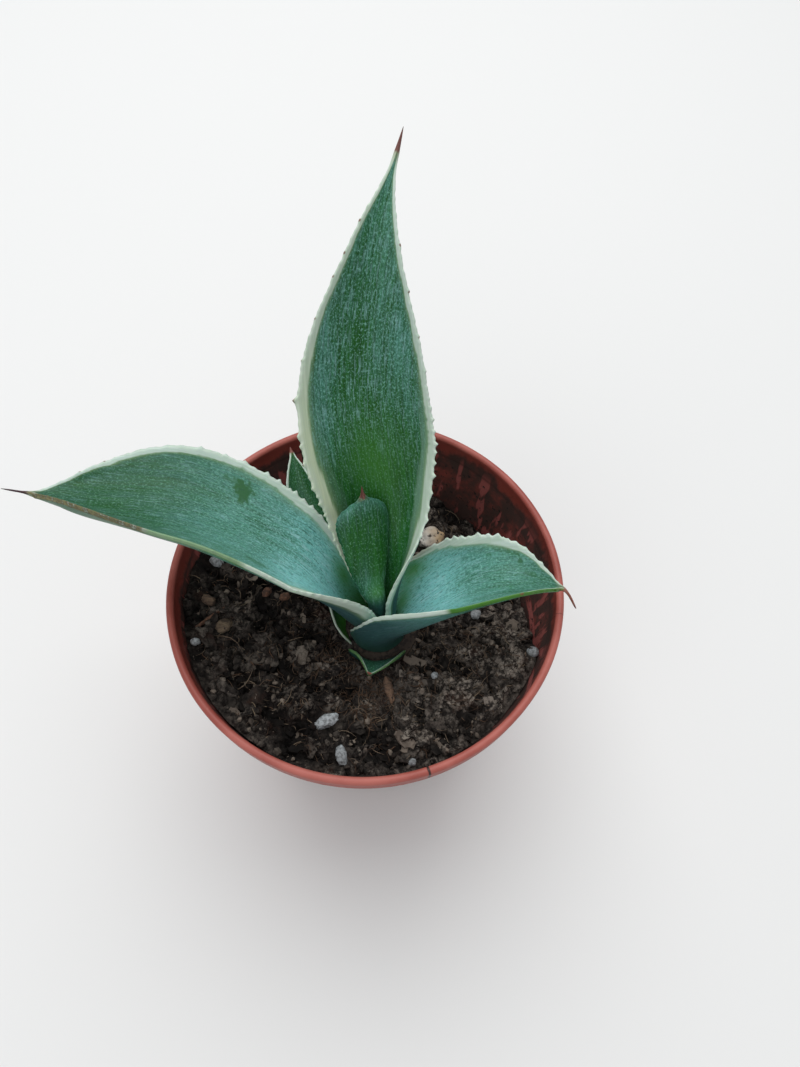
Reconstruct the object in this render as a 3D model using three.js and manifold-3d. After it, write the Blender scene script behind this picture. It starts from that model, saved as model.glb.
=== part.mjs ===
// A young variegated agave in a small round plastic pot, standing on its base.
// Millimetres, +Z up. The origin is the middle of the pot's underside, on the surface it stands on.
// Six leaves spiral round a short stem, each one clasping the next younger leaf inside it.
import * as THREE from 'three';
import { mergeVertices } from 'three/addons/utils/BufferGeometryUtils.js';
import Module from 'manifold-3d';

const wasm = await Module();
wasm.setup();

// ---------------------------------------------------------------- driving dimensions
const CLEARANCE = 0.3; // between pieces that touch on the real plant

const POT = {
  rimRadius: 42.5, // 85 mm across the top
  height: 74,
  lip: 1.7, // width of the rounded rim
  collar: 5.5, // height of the wider band under the rim
  collarRadius: 42.2,
  wall: 1.1,
  footRadius: 29,
  footBevel: 0.8,
  underCollar: 0.5, // height of the slope that leads out to the collar
  sides: 48,
};
const FLOOR = {
  thickness: 1.2,
  lift: 2, // the drained channel stands this far off the table
  bossRadius: 12, // flat disc in the middle that rests on the table
  ringRadius: 26.3, // inside of the foot ring that rests on the table
  slope: 1.1,
  offset: 0.3, // how far the corners of the inside lie from those of the underside
  fillet: 0.6, // where the wall meets the floor
  holes: 8,
  holeRadius: 3,
};

const SOIL = {
  level: 59.9, // height of the peat above the table in the middle of the pot
  slope: [-0.19, -0.11], // it lies banked up to the left and the front
  swells: [ // heaped against the wall at the front right and the stem, hollow under the front leaf
    { height: 10, at: [37, -13], reach: 7 },
    { height: 6, at: [28, -27], reach: 10 },
    { height: 1.8, at: [10, 1], reach: 6 },
    { height: -2.2, at: [1, -16], reach: 6 },
  ],
  rings: 11,
  sectors: 44,
  lumps: 0.55, // half height of the crumbly bumps
};

const STEM = {
  foot: [2.6, -4.6], // where the stem stands in the pot, off the middle
  lean: [0.09, -0.03], // drift of the rosette's middle per mm of height
  radius: 9.3,
  bottom: 48,
  shoulder: 59.5,
  crown: 62,
};

const SKIN = 0.3; // half the thickness of a blade at its thinnest

// ---------------------------------------------------------------- helpers
const DEGREES = Math.PI / 180;

function seeded(seed) {
  let state = seed;
  return () => {
    state = (state * 1664525 + 1013904223) % 4294967296;
    return state / 4294967296;
  };
}

// A smooth curve through [t, value] pairs; values are numbers or Vector3-like arrays.
function through(pairs, t, startSlope = null) {
  const last = pairs.length - 1;
  const at = Math.min(Math.max(t, pairs[0][0]), pairs[last][0]);
  let i = 0;
  while (i < last - 1 && at > pairs[i + 1][0]) i += 1;
  const list = pairs.map(([, value]) => (Array.isArray(value) ? value : [value]));
  const slope = (k, axis) => {
    if (k === 0 && startSlope) return startSlope[axis];
    const before = Math.max(k - 1, 0);
    const after = Math.min(k + 1, last);
    return (list[after][axis] - list[before][axis]) / (pairs[after][0] - pairs[before][0]);
  };
  const span = pairs[i + 1][0] - pairs[i][0];
  const u = (at - pairs[i][0]) / span;
  const blend = list[i].map((from, axis) => {
    const to = list[i + 1][axis];
    return (2 * u ** 3 - 3 * u ** 2 + 1) * from
      + (u ** 3 - 2 * u ** 2 + u) * span * slope(i, axis)
      + (3 * u ** 2 - 2 * u ** 3) * to
      + (u ** 3 - u ** 2) * span * slope(i + 1, axis);
  });
  return blend.length === 1 ? blend[0] : new THREE.Vector3(...blend);
}

function solid(geometry) {
  const bare = geometry.clone();
  for (const name of Object.keys(bare.attributes)) {
    if (name !== 'position') bare.deleteAttribute(name);
  }
  const merged = mergeVertices(bare, 1e-4);
  return new wasm.Manifold(new wasm.Mesh({
    numProp: 3,
    vertProperties: new Float32Array(merged.attributes.position.array),
    triVerts: new Uint32Array(merged.index.array),
  }));
}

function geometryOf(manifold) {
  const mesh = manifold.getMesh();
  const geometry = new THREE.BufferGeometry();
  geometry.setAttribute('position', new THREE.BufferAttribute(mesh.vertProperties, 3));
  geometry.setIndex(new THREE.BufferAttribute(mesh.triVerts, 1));
  return geometry;
}

function meshGeometry(points, triangles) {
  const geometry = new THREE.BufferGeometry();
  geometry.setAttribute('position', new THREE.Float32BufferAttribute(points.flatMap((p) => p.toArray()), 3));
  geometry.setIndex(triangles);
  return geometry;
}

// LatheGeometry turns about Y, so it is stood up to turn about Z.
function turned(profile, sides) {
  const points = profile.map(([radius, height]) => new THREE.Vector2(radius, height));
  return new THREE.LatheGeometry(points, sides).rotateX(Math.PI / 2);
}

const plant = new THREE.Group();

function add(name, geometry, look) {
  const mesh = new THREE.Mesh(geometry, new THREE.MeshStandardMaterial({ metalness: 0, ...look }));
  mesh.name = name;
  plant.add(mesh);
  return mesh;
}

// ---------------------------------------------------------------- pot
const WALL_TOP = POT.height - POT.collar;
const MOUTH = POT.rimRadius - POT.lip + 0.2;
const innerWall = (z) => THREE.MathUtils.mapLinear(
  z, 0, POT.height - POT.lip, POT.footRadius - POT.wall, MOUTH);
const outerWall = (z) => innerWall(z) + POT.wall;

function potGeometry() {
  const lipMiddle = POT.rimRadius - POT.lip / 2;
  const lipTop = POT.height - POT.lip / 2;
  const lip = [];
  for (let k = 0; k <= 5; k += 1) {
    const angle = Math.PI * (k / 5);
    lip.push([lipMiddle + (POT.lip / 2) * Math.cos(angle), lipTop + (POT.lip / 2) * Math.sin(angle)]);
  }
  const lipFoot = POT.height - POT.lip;
  const { thickness, lift, bossRadius, ringRadius, slope, offset, fillet } = FLOOR;
  const profile = [
    [0, 0],
    [bossRadius, 0],
    [bossRadius + slope, lift],
    [ringRadius - slope, lift],
    [ringRadius, 0],
    [POT.footRadius - POT.footBevel, 0],
    [POT.footRadius, POT.footBevel],
    [outerWall(WALL_TOP), WALL_TOP],
    [POT.collarRadius, WALL_TOP + POT.underCollar],
    ...lip,
    [innerWall(lipFoot), lipFoot],
    [innerWall(thickness + fillet), thickness + fillet],
    [innerWall(thickness + fillet) - fillet, thickness],
    [ringRadius - offset, thickness],
    [ringRadius - slope - offset, lift + thickness],
    [bossRadius + slope + offset, lift + thickness],
    [bossRadius + offset, thickness],
    [0, thickness],
  ];
  let pot = solid(turned(profile, POT.sides));
  const holeCircle = (bossRadius + ringRadius) / 2;
  for (let k = 0; k < FLOOR.holes; k += 1) {
    const angle = ((k + 0.5) / FLOOR.holes) * 2 * Math.PI;
    const drill = new THREE.CylinderGeometry(FLOOR.holeRadius, FLOOR.holeRadius, 10, 12).rotateX(Math.PI / 2);
    drill.translate(holeCircle * Math.cos(angle), holeCircle * Math.sin(angle), lift);
    pot = pot.subtract(solid(drill));
  }
  return geometryOf(pot);
}

// ---------------------------------------------------------------- stem
const rosetteMiddle = (z) => [
  STEM.foot[0] + (z - 60) * STEM.lean[0],
  STEM.foot[1] + (z - 60) * STEM.lean[1],
];

function stemProfile(grow) {
  return [
    [0, STEM.bottom - grow],
    [STEM.radius - 3.5 + grow, STEM.bottom - grow],
    [STEM.radius - 1 + grow, STEM.bottom + 4],
    [STEM.radius + grow, STEM.bottom + 8],
    [STEM.radius + grow, STEM.shoulder],
  ];
}

function stemGeometry() {
  return turned([...stemProfile(0), [0.6, STEM.crown], [0, STEM.crown]], 28)
    .translate(...STEM.foot, 0);
}

// ---------------------------------------------------------------- soil
// Slope, swellings and crumbs of the peat's top, as one formula of the place in the pot.
function soilTop(x, y) {
  let swells = 0;
  for (const { height, at, reach } of SOIL.swells) {
    swells += height * Math.exp(-((x - at[0]) ** 2 + (y - at[1]) ** 2) / (2 * reach ** 2));
  }
  const slope = SOIL.slope[0] * x + SOIL.slope[1] * y;
  const crumbs = Math.sin(0.55 * x + 1.3) * Math.cos(0.48 * y - 0.4)
    + 0.6 * Math.sin(1.05 * x - 0.9 * y + 2.1)
    + 0.5 * Math.cos(0.8 * x + 1.2 * y);
  return SOIL.level + slope + SOIL.lumps * crumbs / 1.4 + swells;
}

function soilBody() {
  const bottom = FLOOR.lift + FLOOR.thickness + CLEARANCE;
  const points = [];
  const triangles = [];
  const { rings, sectors } = SOIL;
  const edge = (z) => innerWall(z) - CLEARANCE;
  const reach = (angle) => {
    let radius = edge(SOIL.level);
    for (let k = 0; k < 4; k += 1) {
      radius = edge(soilTop(radius * Math.cos(angle), radius * Math.sin(angle)));
    }
    return radius;
  };
  points.push(new THREE.Vector3(0, 0, soilTop(0, 0)));
  for (let ring = 1; ring <= rings; ring += 1) {
    for (let k = 0; k < sectors; k += 1) {
      const angle = (k / sectors) * 2 * Math.PI;
      const radius = (ring / rings) * reach(angle);
      const [x, y] = [radius * Math.cos(angle), radius * Math.sin(angle)];
      points.push(new THREE.Vector3(x, y, soilTop(x, y)));
    }
  }
  for (let k = 0; k < sectors; k += 1) {
    const angle = (k / sectors) * 2 * Math.PI;
    points.push(new THREE.Vector3(edge(bottom) * Math.cos(angle), edge(bottom) * Math.sin(angle), bottom));
  }
  points.push(new THREE.Vector3(0, 0, bottom));
  const at = (ring, k) => 1 + (ring - 1) * sectors + (k % sectors);
  for (let k = 0; k < sectors; k += 1) {
    triangles.push(0, at(1, k), at(1, k + 1));
    for (let ring = 1; ring <= rings; ring += 1) {
      triangles.push(at(ring, k), at(ring + 1, k), at(ring + 1, k + 1));
      triangles.push(at(ring, k), at(ring + 1, k + 1), at(ring, k + 1));
    }
    triangles.push(points.length - 1, at(rings + 1, k + 1), at(rings + 1, k));
  }
  const stemHole = turned([...stemProfile(CLEARANCE), [STEM.radius + CLEARANCE, 70], [0, 70]], 28)
    .translate(...STEM.foot, 0);
  return solid(meshGeometry(points, triangles)).subtract(solid(stemHole));
}

// ---------------------------------------------------------------- leaves
// One entry a leaf, from the youngest in the middle to the oldest outside.
//   side    compass bearing of the leaf's foot round the stem, degrees from +X
//   ring    radius at which its sheath clasps the younger leaves; clasp is half the arc, in degrees
//   midrib  [t, [x, y, z]] from the sheath to the tip of the spine
//   face    [t, direction] that the upper surface looks in, after it has looked at the stem
//   width   [t, half width across the curve]; curl is half the arc of the channel, in degrees
//   body    greatest thickness of the flesh
//   teeth   [edge, from t, to t, count, height]; edge -1 and 1 are the two margins
const LEAVES = {
  leaf_centre: {
    side: -97, ring: 1.9, foot: 62, clasp: 158,
    midrib: [[0.2, [2.8, -6.2, 74]], [0.5, [1.4, -2.5, 79]], [0.8, [-0.1, 6, 89.5]], [1, [-1, 9.7, 97]]],
    face: [[0.4, [-0.37, 0.93, -0.1]], [1, [-0.5, 0.72, -0.45]]],
    width: [[0.2, 2.9], [0.45, 3.1], [0.65, 5.1], [0.82, 6], [0.93, 1], [1, 0.35]],
    curl: [[0.25, 104], [0.5, 28], [1, 52]],
    body: 1.1, stations: 20, columns: 8,
    teeth: [[1, 0.6, 0.86, 3, 0.6], [-1, 0.66, 0.84, 2, 0.4]],
  },
  leaf_upright: {
    side: 29, ring: 3.2, foot: 61.6, clasp: 45,
    midrib: [
      [0.1, [5.2, -2.4, 71]], [0.3, [2.2, 11, 87]], [0.55, [-1.6, 24.5, 108]],
      [0.8, [0.2, 39, 130]], [1, [4.6, 54, 142.5]],
    ],
    face: [[0.3, [-0.09, -0.39, 0.92]], [1, [0.3, -0.73, 0.61]]],
    width: [
      [0.1, 6.3], [0.2, 9.8], [0.32, 11.9], [0.45, 13.9], [0.62, 11.9], [0.8, 5],
      [0.92, 1], [1, 0.35],
    ],
    curl: [[0.12, 109], [0.3, 47], [1, 41]],
    body: 2, stations: 28, columns: 8,
    teeth: [[-1, 0.17, 0.6, 9, 1], [-1, 0.66, 0.84, 4, 0.5], [1, 0.17, 0.52, 9, 1], [1, 0.58, 0.8, 4, 0.5]],
  },
  leaf_left: {
    side: -172, ring: 4.5, foot: 61.2, clasp: 90,
    midrib: [
      [0.12, [-5, -6, 71.6]], [0.3, [-15.2, -1, 83.7]], [0.55, [-35, 4.5, 92]],
      [0.8, [-54.2, 4.7, 95]], [1, [-70.3, 5.8, 97]],
    ],
    face: [[0.12, [0.74, 0.5, 0.45]], [0.3, [0.97, 0.02, 0.23]], [1, [0.13, 0.57, 0.81]]],
    width: [[0.12, 9.3], [0.28, 13.1], [0.45, 16.2], [0.62, 14.9], [0.8, 9.6], [0.92, 1], [1, 0.35]],
    curl: [[0.14, 92], [0.3, 47], [1, 62]],
    body: 2, stations: 28, columns: 8,
    teeth: [[1, 0.2, 0.66, 12, 0.9], [1, 0.7, 0.82, 3, 0.5], [-1, 0.2, 0.6, 9, 0.8], [-1, 0.66, 0.82, 4, 0.5]],
  },
  leaf_right: {
    side: -66, ring: 6, foot: 60.8, clasp: 100,
    midrib: [
      [0.2, [7.7, -8.9, 68.8]], [0.42, [20.7, -3.3, 78.4]], [0.7, [30.7, -2.5, 83]],
      [0.89, [39.9, -3.2, 81.4]], [0.94, [41.6, -4.2, 80.9]], [1, [43.5, -6.7, 79]],
    ],
    face: [[0.4, [-0.78, 0.25, 0.58]], [0.89, [0.21, 0.26, 0.94]], [1, [0.6, 0.3, 0.9]]],
    width: [[0.15, 10.1], [0.3, 14.5], [0.5, 10.9], [0.7, 8], [0.83, 3.1], [0.9, 0.7], [1, 0.35]],
    curl: [[0.2, 87], [0.4, 57], [1, 60]],
    body: 1.8, stations: 26, columns: 12,
    teeth: [[-1, 0.42, 0.86, 11, 0.9], [1, 0.45, 0.8, 7, 0.6]],
  },
  leaf_back: {
    side: 135, ring: 7.4, foot: 60.4, clasp: 86,
    midrib: [[0.2, [-4.6, 3.6, 65.5]], [0.55, [-14.5, 18.5, 71.5]], [1, [-19.4, 32.4, 76]]],
    face: [[0.2, [0.6, -0.6, 0.4]], [0.45, [0.3, -0.45, 0.84]], [1, [0.3, -0.41, 0.86]]],
    width: [[0.1, 10.2], [0.28, 7.2], [0.5, 5.4], [0.8, 2.6], [0.93, 0.8], [1, 0.35]],
    curl: [[0.1, 54], [0.3, 50], [1, 52]],
    body: 1.4, stations: 20, columns: 8,
    teeth: [[-1, 0.4, 0.8, 6, 0.5], [1, 0.4, 0.8, 6, 0.5]],
  },
  leaf_front: {
    side: -89, ring: 8.7, foot: 60, clasp: 49,
    midrib: [[0.4, [2.5, -14, 61.7]], [0.7, [2, -15.4, 62.8]], [1, [1.3, -17.3, 63.5]]],
    face: [[0.4, [0.1, 0.93, 0.34]], [0.7, [0.17, 0.72, 0.67]], [1, [0.2, 0.5, 0.84]]],
    width: [[0.4, 5.4], [0.6, 3.9], [0.8, 2.2], [1, 0.35]],
    curl: [[0.3, 44], [0.6, 48], [1, 52]],
    body: 0.8, stations: 9, columns: 8,
    teeth: [[-1, 0.5, 0.75, 2, 0.4], [1, 0.5, 0.75, 2, 0.4]],
  },
};

// Everything that the leaf is at one station: middle of the rib, directions, width, curl, thickness.
function station(leaf, t) {
  const bearing = leaf.side * DEGREES;
  const outward = [Math.cos(bearing), Math.sin(bearing), 0];
  const [cx, cy] = rosetteMiddle(leaf.foot);
  const foot = [cx + leaf.ring * outward[0], cy + leaf.ring * outward[1], leaf.foot];
  const [firstT, first] = leaf.midrib[0];
  const rise = [0, 0, (first[2] - foot[2]) / firstT];
  const rib = [[0, foot], ...leaf.midrib];
  const middle = through(rib, t, rise);
  const small = 1e-4;
  const before = through(rib, Math.max(t - small, 0), rise);
  const after = through(rib, Math.min(t + small, 1), rise);
  const along = after.sub(before).normalize();
  const unit = leaf.face.map(([at, way]) => [at, new THREE.Vector3(...way).normalize().toArray()]);
  const face = through([[0, outward.map((value) => -value)], ...unit], t).normalize();
  const across = new THREE.Vector3().crossVectors(along, face).normalize();
  const up = new THREE.Vector3().crossVectors(across, along);
  const clasp = leaf.clasp * DEGREES;
  return {
    middle,
    along,
    across,
    up,
    half: through([[0, leaf.ring * clasp], ...leaf.width], t),
    curl: through([[0, leaf.clasp], ...leaf.curl], t) * DEGREES,
    flesh: through([[0, 0.9], [0.15, 1], [0.4, leaf.body], [0.8, 0.7 * leaf.body], [0.94, 0.9], [1, 0.4]], t),
  };
}

// A point of the blade: s runs from -1 to 1 across it, lift is the distance above its middle sheet.
function bladePoint(place, s, lift) {
  const turn = place.curl * s;
  const radius = place.half / place.curl;
  return place.middle.clone()
    .addScaledVector(place.across, (radius - lift) * Math.sin(turn))
    .addScaledVector(place.up, radius - (radius - lift) * Math.cos(turn));
}

const skinAt = (t) => SKIN * THREE.MathUtils.clamp((1.12 - t) / 0.2, 0.5, 1);

function bladeGeometry(leaf) {
  const { stations, columns } = leaf;
  const points = [];
  for (let i = 0; i <= stations; i += 1) {
    const t = i / stations;
    const place = station(leaf, t);
    const skin = skinAt(t);
    for (const side of [1, -1]) {
      for (let j = 0; j <= columns; j += 1) {
        const s = -1 + (2 * j) / columns;
        const lift = side > 0 ? skin : -skin - (Math.max(place.flesh, 2 * skin) - 2 * skin) * (1 - s * s);
        points.push(bladePoint(place, s, lift));
      }
    }
  }
  const top = (i, j) => i * 2 * (columns + 1) + j;
  const under = (i, j) => top(i, j) + columns + 1;
  const triangles = [];
  const quad = (a, b, c, d) => triangles.push(a, b, c, a, c, d);
  for (let i = 0; i < stations; i += 1) {
    for (let j = 0; j < columns; j += 1) {
      quad(top(i, j), top(i, j + 1), top(i + 1, j + 1), top(i + 1, j));
      triangles.push(under(i, j), under(i + 1, j + 1), under(i, j + 1));
      triangles.push(under(i, j), under(i + 1, j), under(i + 1, j + 1));
    }
    quad(top(i, 0), top(i + 1, 0), under(i + 1, 0), under(i, 0));
    quad(top(i, columns), under(i, columns), under(i + 1, columns), top(i + 1, columns));
  }
  for (let j = 0; j < columns; j += 1) {
    quad(top(0, j), under(0, j), under(0, j + 1), top(0, j + 1));
    quad(top(stations, j), top(stations, j + 1), under(stations, j + 1), under(stations, j));
  }
  return meshGeometry(points, triangles);
}

const TOOTH = {
  rootRadius: 0.35, // of a tooth of no height; spread is what each mm of height adds to it
  spread: 0.5,
  sunk: 0.7, // depth of its root in the margin
  flatness: 0.42, // thickness as a share of its width
};

// A tooth is a flat three-sided cone whose root is sunk in the margin and whose point leans along it.
function toothGeometry(leaf, edge, t, height, hook) {
  const place = station(leaf, t);
  const root = bladePoint(place, edge, 0);
  const outward = root.clone().sub(bladePoint(place, edge * 0.98, 0)).normalize();
  const lean = outward.clone().addScaledVector(place.along, hook).normalize();
  const flat = new THREE.Vector3().crossVectors(place.along, lean).normalize();
  const run = new THREE.Vector3().crossVectors(lean, flat);
  const length = height + TOOTH.sunk;
  const tooth = new THREE.ConeGeometry(TOOTH.rootRadius + TOOTH.spread * height, length, 3);
  tooth.scale(1, 1, TOOTH.flatness);
  tooth.translate(0, length / 2 - TOOTH.sunk, 0);
  tooth.applyMatrix4(new THREE.Matrix4().makeBasis(run, lean, flat));
  tooth.translate(...root.toArray());
  return tooth;
}

function leafGeometry(leaf, seed) {
  const random = seeded(seed);
  let body = solid(bladeGeometry(leaf));
  for (const [edge, from, to, count, height] of leaf.teeth) {
    for (let k = 0; k < count; k += 1) {
      const t = from + ((k + 0.3 + 0.4 * random()) / count) * (to - from);
      const tall = height * (0.75 + 0.5 * random());
      body = body.add(solid(toothGeometry(leaf, edge, t, tall, 0.7 * (random() - 0.5))));
    }
  }
  return geometryOf(body);
}

// ---------------------------------------------------------------- grains lying in the peat
// at: [x, y]; size: half lengths; turn: degrees about Z; sunk: share of the height under the peat
const GRAINS = {
  perlite_front: { at: [-6.8, -28], size: [2.9, 1.5, 1.4], turn: 25, seed: 3, look: 'perlite' },
  perlite_front_low: { at: [-3.3, -35], size: [1.2, 2.2, 1.2], turn: 12, seed: 5, look: 'perlite' },
  perlite_right: { at: [36.6, -11.4], size: [1.4, 1.3, 1.2], turn: 0, seed: 8, look: 'perlite' },
  perlite_middle: { at: [25.3, 0.9], size: [1.4, 1.3, 1.1], turn: 40, seed: 13, look: 'perlite' },
  perlite_small: { at: [15.7, -16], size: [0.9, 0.8, 0.8], turn: 0, seed: 21, look: 'perlite' },
  perlite_rim: { at: [11.3, -35.4], size: [0.9, 0.8, 0.8], turn: 70, seed: 34, look: 'perlite' },
  perlite_left: { at: [-35.6, -13.4], size: [1.1, 0.9, 0.9], turn: 10, seed: 55, look: 'perlite' },
  perlite_shaded: { at: [-34.6, 7.1], size: [1.9, 1.3, 1.2], turn: -20, seed: 89, look: 'perlite' },
  pebble: { at: [14.2, 21], size: [3.8, 3, 2.3], turn: 15, seed: 7, look: 'pebble' },
  bark_left: { at: [-30.6, -8.6], size: [2.1, 1.6, 1], turn: 35, seed: 11, look: 'bark' },
  bark_far_left: { at: [-34.6, -3], size: [1.7, 1.1, 0.9], turn: -25, seed: 19, look: 'bark' },
  bark_chip: { at: [-22.5, 0.6], size: [1.5, 1, 0.8], turn: 60, seed: 29, look: 'bark' },
  bark_sliver: { at: [5.8, -19.6], size: [1, 3.4, 0.8], turn: 16, seed: 41, look: 'bark' },
};
const LOOKS = {
  pot: { color: 0xa4574d, roughness: 0.5 },
  soil: { color: 0x2c211c, roughness: 1 },
  stem: { color: 0x8b8a58, roughness: 0.8 },
  leaf: { color: 0x5f9385, roughness: 0.55 },
  perlite: { color: 0xe4e4e0, roughness: 0.9 },
  pebble: { color: 0xd8c6a4, roughness: 0.8 },
  bark: { color: 0x7a4a2c, roughness: 0.95 },
  twig: { color: 0x8a5030, roughness: 0.9 },
};

// A lumpy stone: an icosahedron pulled to its half lengths, each corner moved by a seeded share.
function lumpGeometry({ size, turn, seed, at }, grow) {
  const random = seeded(seed);
  const lump = mergeVertices(new THREE.IcosahedronGeometry(1, size[0] > 1.2 ? 1 : 0).deleteAttribute('normal')
    .deleteAttribute('uv'));
  const place = lump.attributes.position;
  for (let k = 0; k < place.count; k += 1) {
    const share = 0.86 + 0.24 * random();
    place.setXYZ(
      k,
      place.getX(k) * share * (size[0] + grow),
      place.getY(k) * share * (size[1] + grow),
      place.getZ(k) * share * (size[2] + grow),
    );
  }
  lump.rotateZ(turn * DEGREES);
  return lump.translate(at[0], at[1], soilTop(...at) + 0.3 * size[2]);
}

// A dry twig, half bedded in the peat along the left side.
const TWIG = { from: [-36.4, -10], to: [-30, -3.8], radius: 0.6, bow: 0.8 };

function twigGeometry(grow) {
  const path = new THREE.CatmullRomCurve3([0, 0.5, 1].map((share) => {
    const x = THREE.MathUtils.lerp(TWIG.from[0], TWIG.to[0], share);
    const y = THREE.MathUtils.lerp(TWIG.from[1], TWIG.to[1], share) + TWIG.bow * Math.sin(Math.PI * share);
    return new THREE.Vector3(x, y, soilTop(x, y) + 0.3);
  }));
  const radius = TWIG.radius + grow;
  const section = new THREE.Shape();
  for (let k = 0; k < 6; k += 1) {
    const angle = (k / 6) * 2 * Math.PI;
    const [x, y] = [radius * Math.cos(angle), radius * Math.sin(angle)];
    if (k === 0) section.moveTo(x, y);
    else section.lineTo(x, y);
  }
  return new THREE.ExtrudeGeometry(section, { steps: 6, bevelEnabled: false, extrudePath: path });
}

// ---------------------------------------------------------------- the whole plant
add('pot', potGeometry(), LOOKS.pot);

let soil = soilBody();
for (const grain of Object.values(GRAINS)) {
  soil = soil.subtract(solid(lumpGeometry(grain, CLEARANCE + 0.1)));
}
soil = soil.subtract(solid(twigGeometry(CLEARANCE)));
add('soil', geometryOf(soil), LOOKS.soil);
add('stem', stemGeometry(), LOOKS.stem);

Object.entries(LEAVES).forEach(([name, leaf], k) => {
  add(name, leafGeometry(leaf, 100 + k), LOOKS.leaf);
});
for (const [name, grain] of Object.entries(GRAINS)) {
  add(name, lumpGeometry(grain, 0), LOOKS[grain.look]);
}
add('twig', twigGeometry(0), LOOKS.twig);

export default plant;
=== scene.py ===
# %% [markdown]
# # A small potted agave, dressed for its portrait
#
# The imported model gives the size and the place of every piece: a plastic pot, the peat in it,
# a short stem, six leaves and the grains that lie on the peat. This lesson keeps those places
# and gives each piece the finer shape and the finish of the real one.

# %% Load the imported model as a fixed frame
import math
import random

import bpy
import numpy as np
from mathutils import Matrix, Vector, noise


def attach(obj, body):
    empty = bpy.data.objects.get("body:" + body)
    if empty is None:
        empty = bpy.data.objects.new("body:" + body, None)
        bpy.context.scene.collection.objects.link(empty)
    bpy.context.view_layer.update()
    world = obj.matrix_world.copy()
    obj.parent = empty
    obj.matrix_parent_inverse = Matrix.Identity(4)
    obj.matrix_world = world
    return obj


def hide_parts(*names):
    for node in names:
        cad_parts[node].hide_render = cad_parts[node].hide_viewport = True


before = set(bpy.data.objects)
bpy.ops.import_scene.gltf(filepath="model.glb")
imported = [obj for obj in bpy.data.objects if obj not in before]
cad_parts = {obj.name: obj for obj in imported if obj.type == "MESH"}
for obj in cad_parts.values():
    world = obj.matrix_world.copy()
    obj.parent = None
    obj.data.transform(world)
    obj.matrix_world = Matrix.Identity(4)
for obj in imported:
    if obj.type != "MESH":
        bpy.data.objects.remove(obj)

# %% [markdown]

MM = 0.001
noise.seed_set(5)  # without a seed, noise_vector takes its offsets from the clock
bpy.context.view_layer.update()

# %% [markdown]
# Operators act on whatever is selected, and the loaded solids start out selected. These few
# helpers pick one piece, name it, read and move its points, press its modifiers into it, and
# open and close its editing. One of them extrudes and resizes a ring again and again.


# %% Helpers for picking and shaping a piece
def only(piece):
    bpy.ops.object.select_all(action="DESELECT")
    piece.select_set(True)
    bpy.context.view_layer.objects.active = piece


def named(name):
    piece = bpy.context.object
    piece.name = piece.data.name = name
    only(piece)
    return piece


def points_of(piece):
    """The piece's points in millimetres, as rows of x, y, z."""
    flat = np.empty(len(piece.data.vertices) * 3)
    piece.data.vertices.foreach_get("co", flat)
    return flat.reshape(-1, 3) / MM


def set_points(piece, points):
    piece.data.vertices.foreach_set("co", (np.asarray(points) * MM).ravel())
    piece.data.update()


def press_modifiers(piece):
    only(piece)
    for modifier in list(piece.modifiers):
        bpy.ops.object.modifier_apply(modifier=modifier.name)


def open_edit(piece):
    """Opens a piece for editing, with all of it selected."""
    only(piece)
    bpy.ops.object.mode_set(mode="EDIT")
    bpy.ops.mesh.select_all(action="SELECT")


def close_edit():
    """Turns all faces outward and ends the editing."""
    bpy.ops.mesh.select_all(action="SELECT")
    bpy.ops.mesh.normals_make_consistent(inside=False)
    bpy.ops.object.mode_set(mode="OBJECT")


def extrude_rings(extrude, rings, start, axis=(0, 0)):
    """Extrudes the selected ring to each radius and height in turn, about an upright axis."""
    radius, height = start
    for new_radius, new_height in rings:
        extrude(TRANSFORM_OT_translate={"value": (0, 0, (new_height - height) * MM)})
        bpy.ops.transform.resize(
            value=(new_radius / radius, new_radius / radius, 1),
            center_override=(axis[0] * MM, axis[1] * MM, new_height * MM))
        radius, height = new_radius, new_height


def smooth(piece, degrees=None):
    only(piece)
    if degrees is None:
        bpy.ops.object.shade_smooth()
    else:
        bpy.ops.object.shade_smooth_by_angle(angle=math.radians(degrees))


def store(piece, name, values):
    """Keeps a number or a vector for each point, for the materials to read."""
    values = np.asarray(values, dtype=np.float32)
    kind = "FLOAT" if values.ndim == 1 else "FLOAT_VECTOR"
    layer = piece.data.attributes.new(name, kind, "POINT")
    layer.data.foreach_set("value" if values.ndim == 1 else "vector", values.ravel())


def settle(piece, node, slot, *materials):
    """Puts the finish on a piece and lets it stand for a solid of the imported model."""
    piece.data.materials.clear()
    for material in materials:
        piece.data.materials.append(material)
    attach(piece, "root")
    if node:
        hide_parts(node)
    piece.data.validate()
    print(f"{piece.name}: {len(piece.data.polygons)} faces")


def mix_range(value, low, high):
    """Eases from 0 at low to 1 at high."""
    share = np.clip((np.asarray(value, float) - low) / (high - low), 0, 1)
    return share * share * (3 - 2 * share)


# %% [markdown]
# The photograph was taken from above and in front, with the phone turned a little. The camera
# stands where the rim's ellipse says that it stood. Its long side is the frame's height.

# %% Camera
CAMERA_PLACE = Vector((6.832, -72.052, 229.911)) * MM
CAMERA_DOWN = math.radians(61.7013)
CAMERA_ROLL = math.radians(2.3157)
bpy.ops.object.camera_add()
camera = bpy.context.object
camera.name = "camera"
camera.data.sensor_width = 36
camera.data.lens = 26.99
camera.data.clip_start = 0.01
camera.matrix_world = (
    Matrix.Translation(CAMERA_PLACE)
    @ Matrix.Rotation(math.pi / 2 - CAMERA_DOWN, 4, "X")
    @ Matrix.Rotation(CAMERA_ROLL, 4, "Z")
)
bpy.context.scene.camera = camera
print("camera at", [round(value / MM) for value in camera.matrix_world.translation], "mm")

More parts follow.
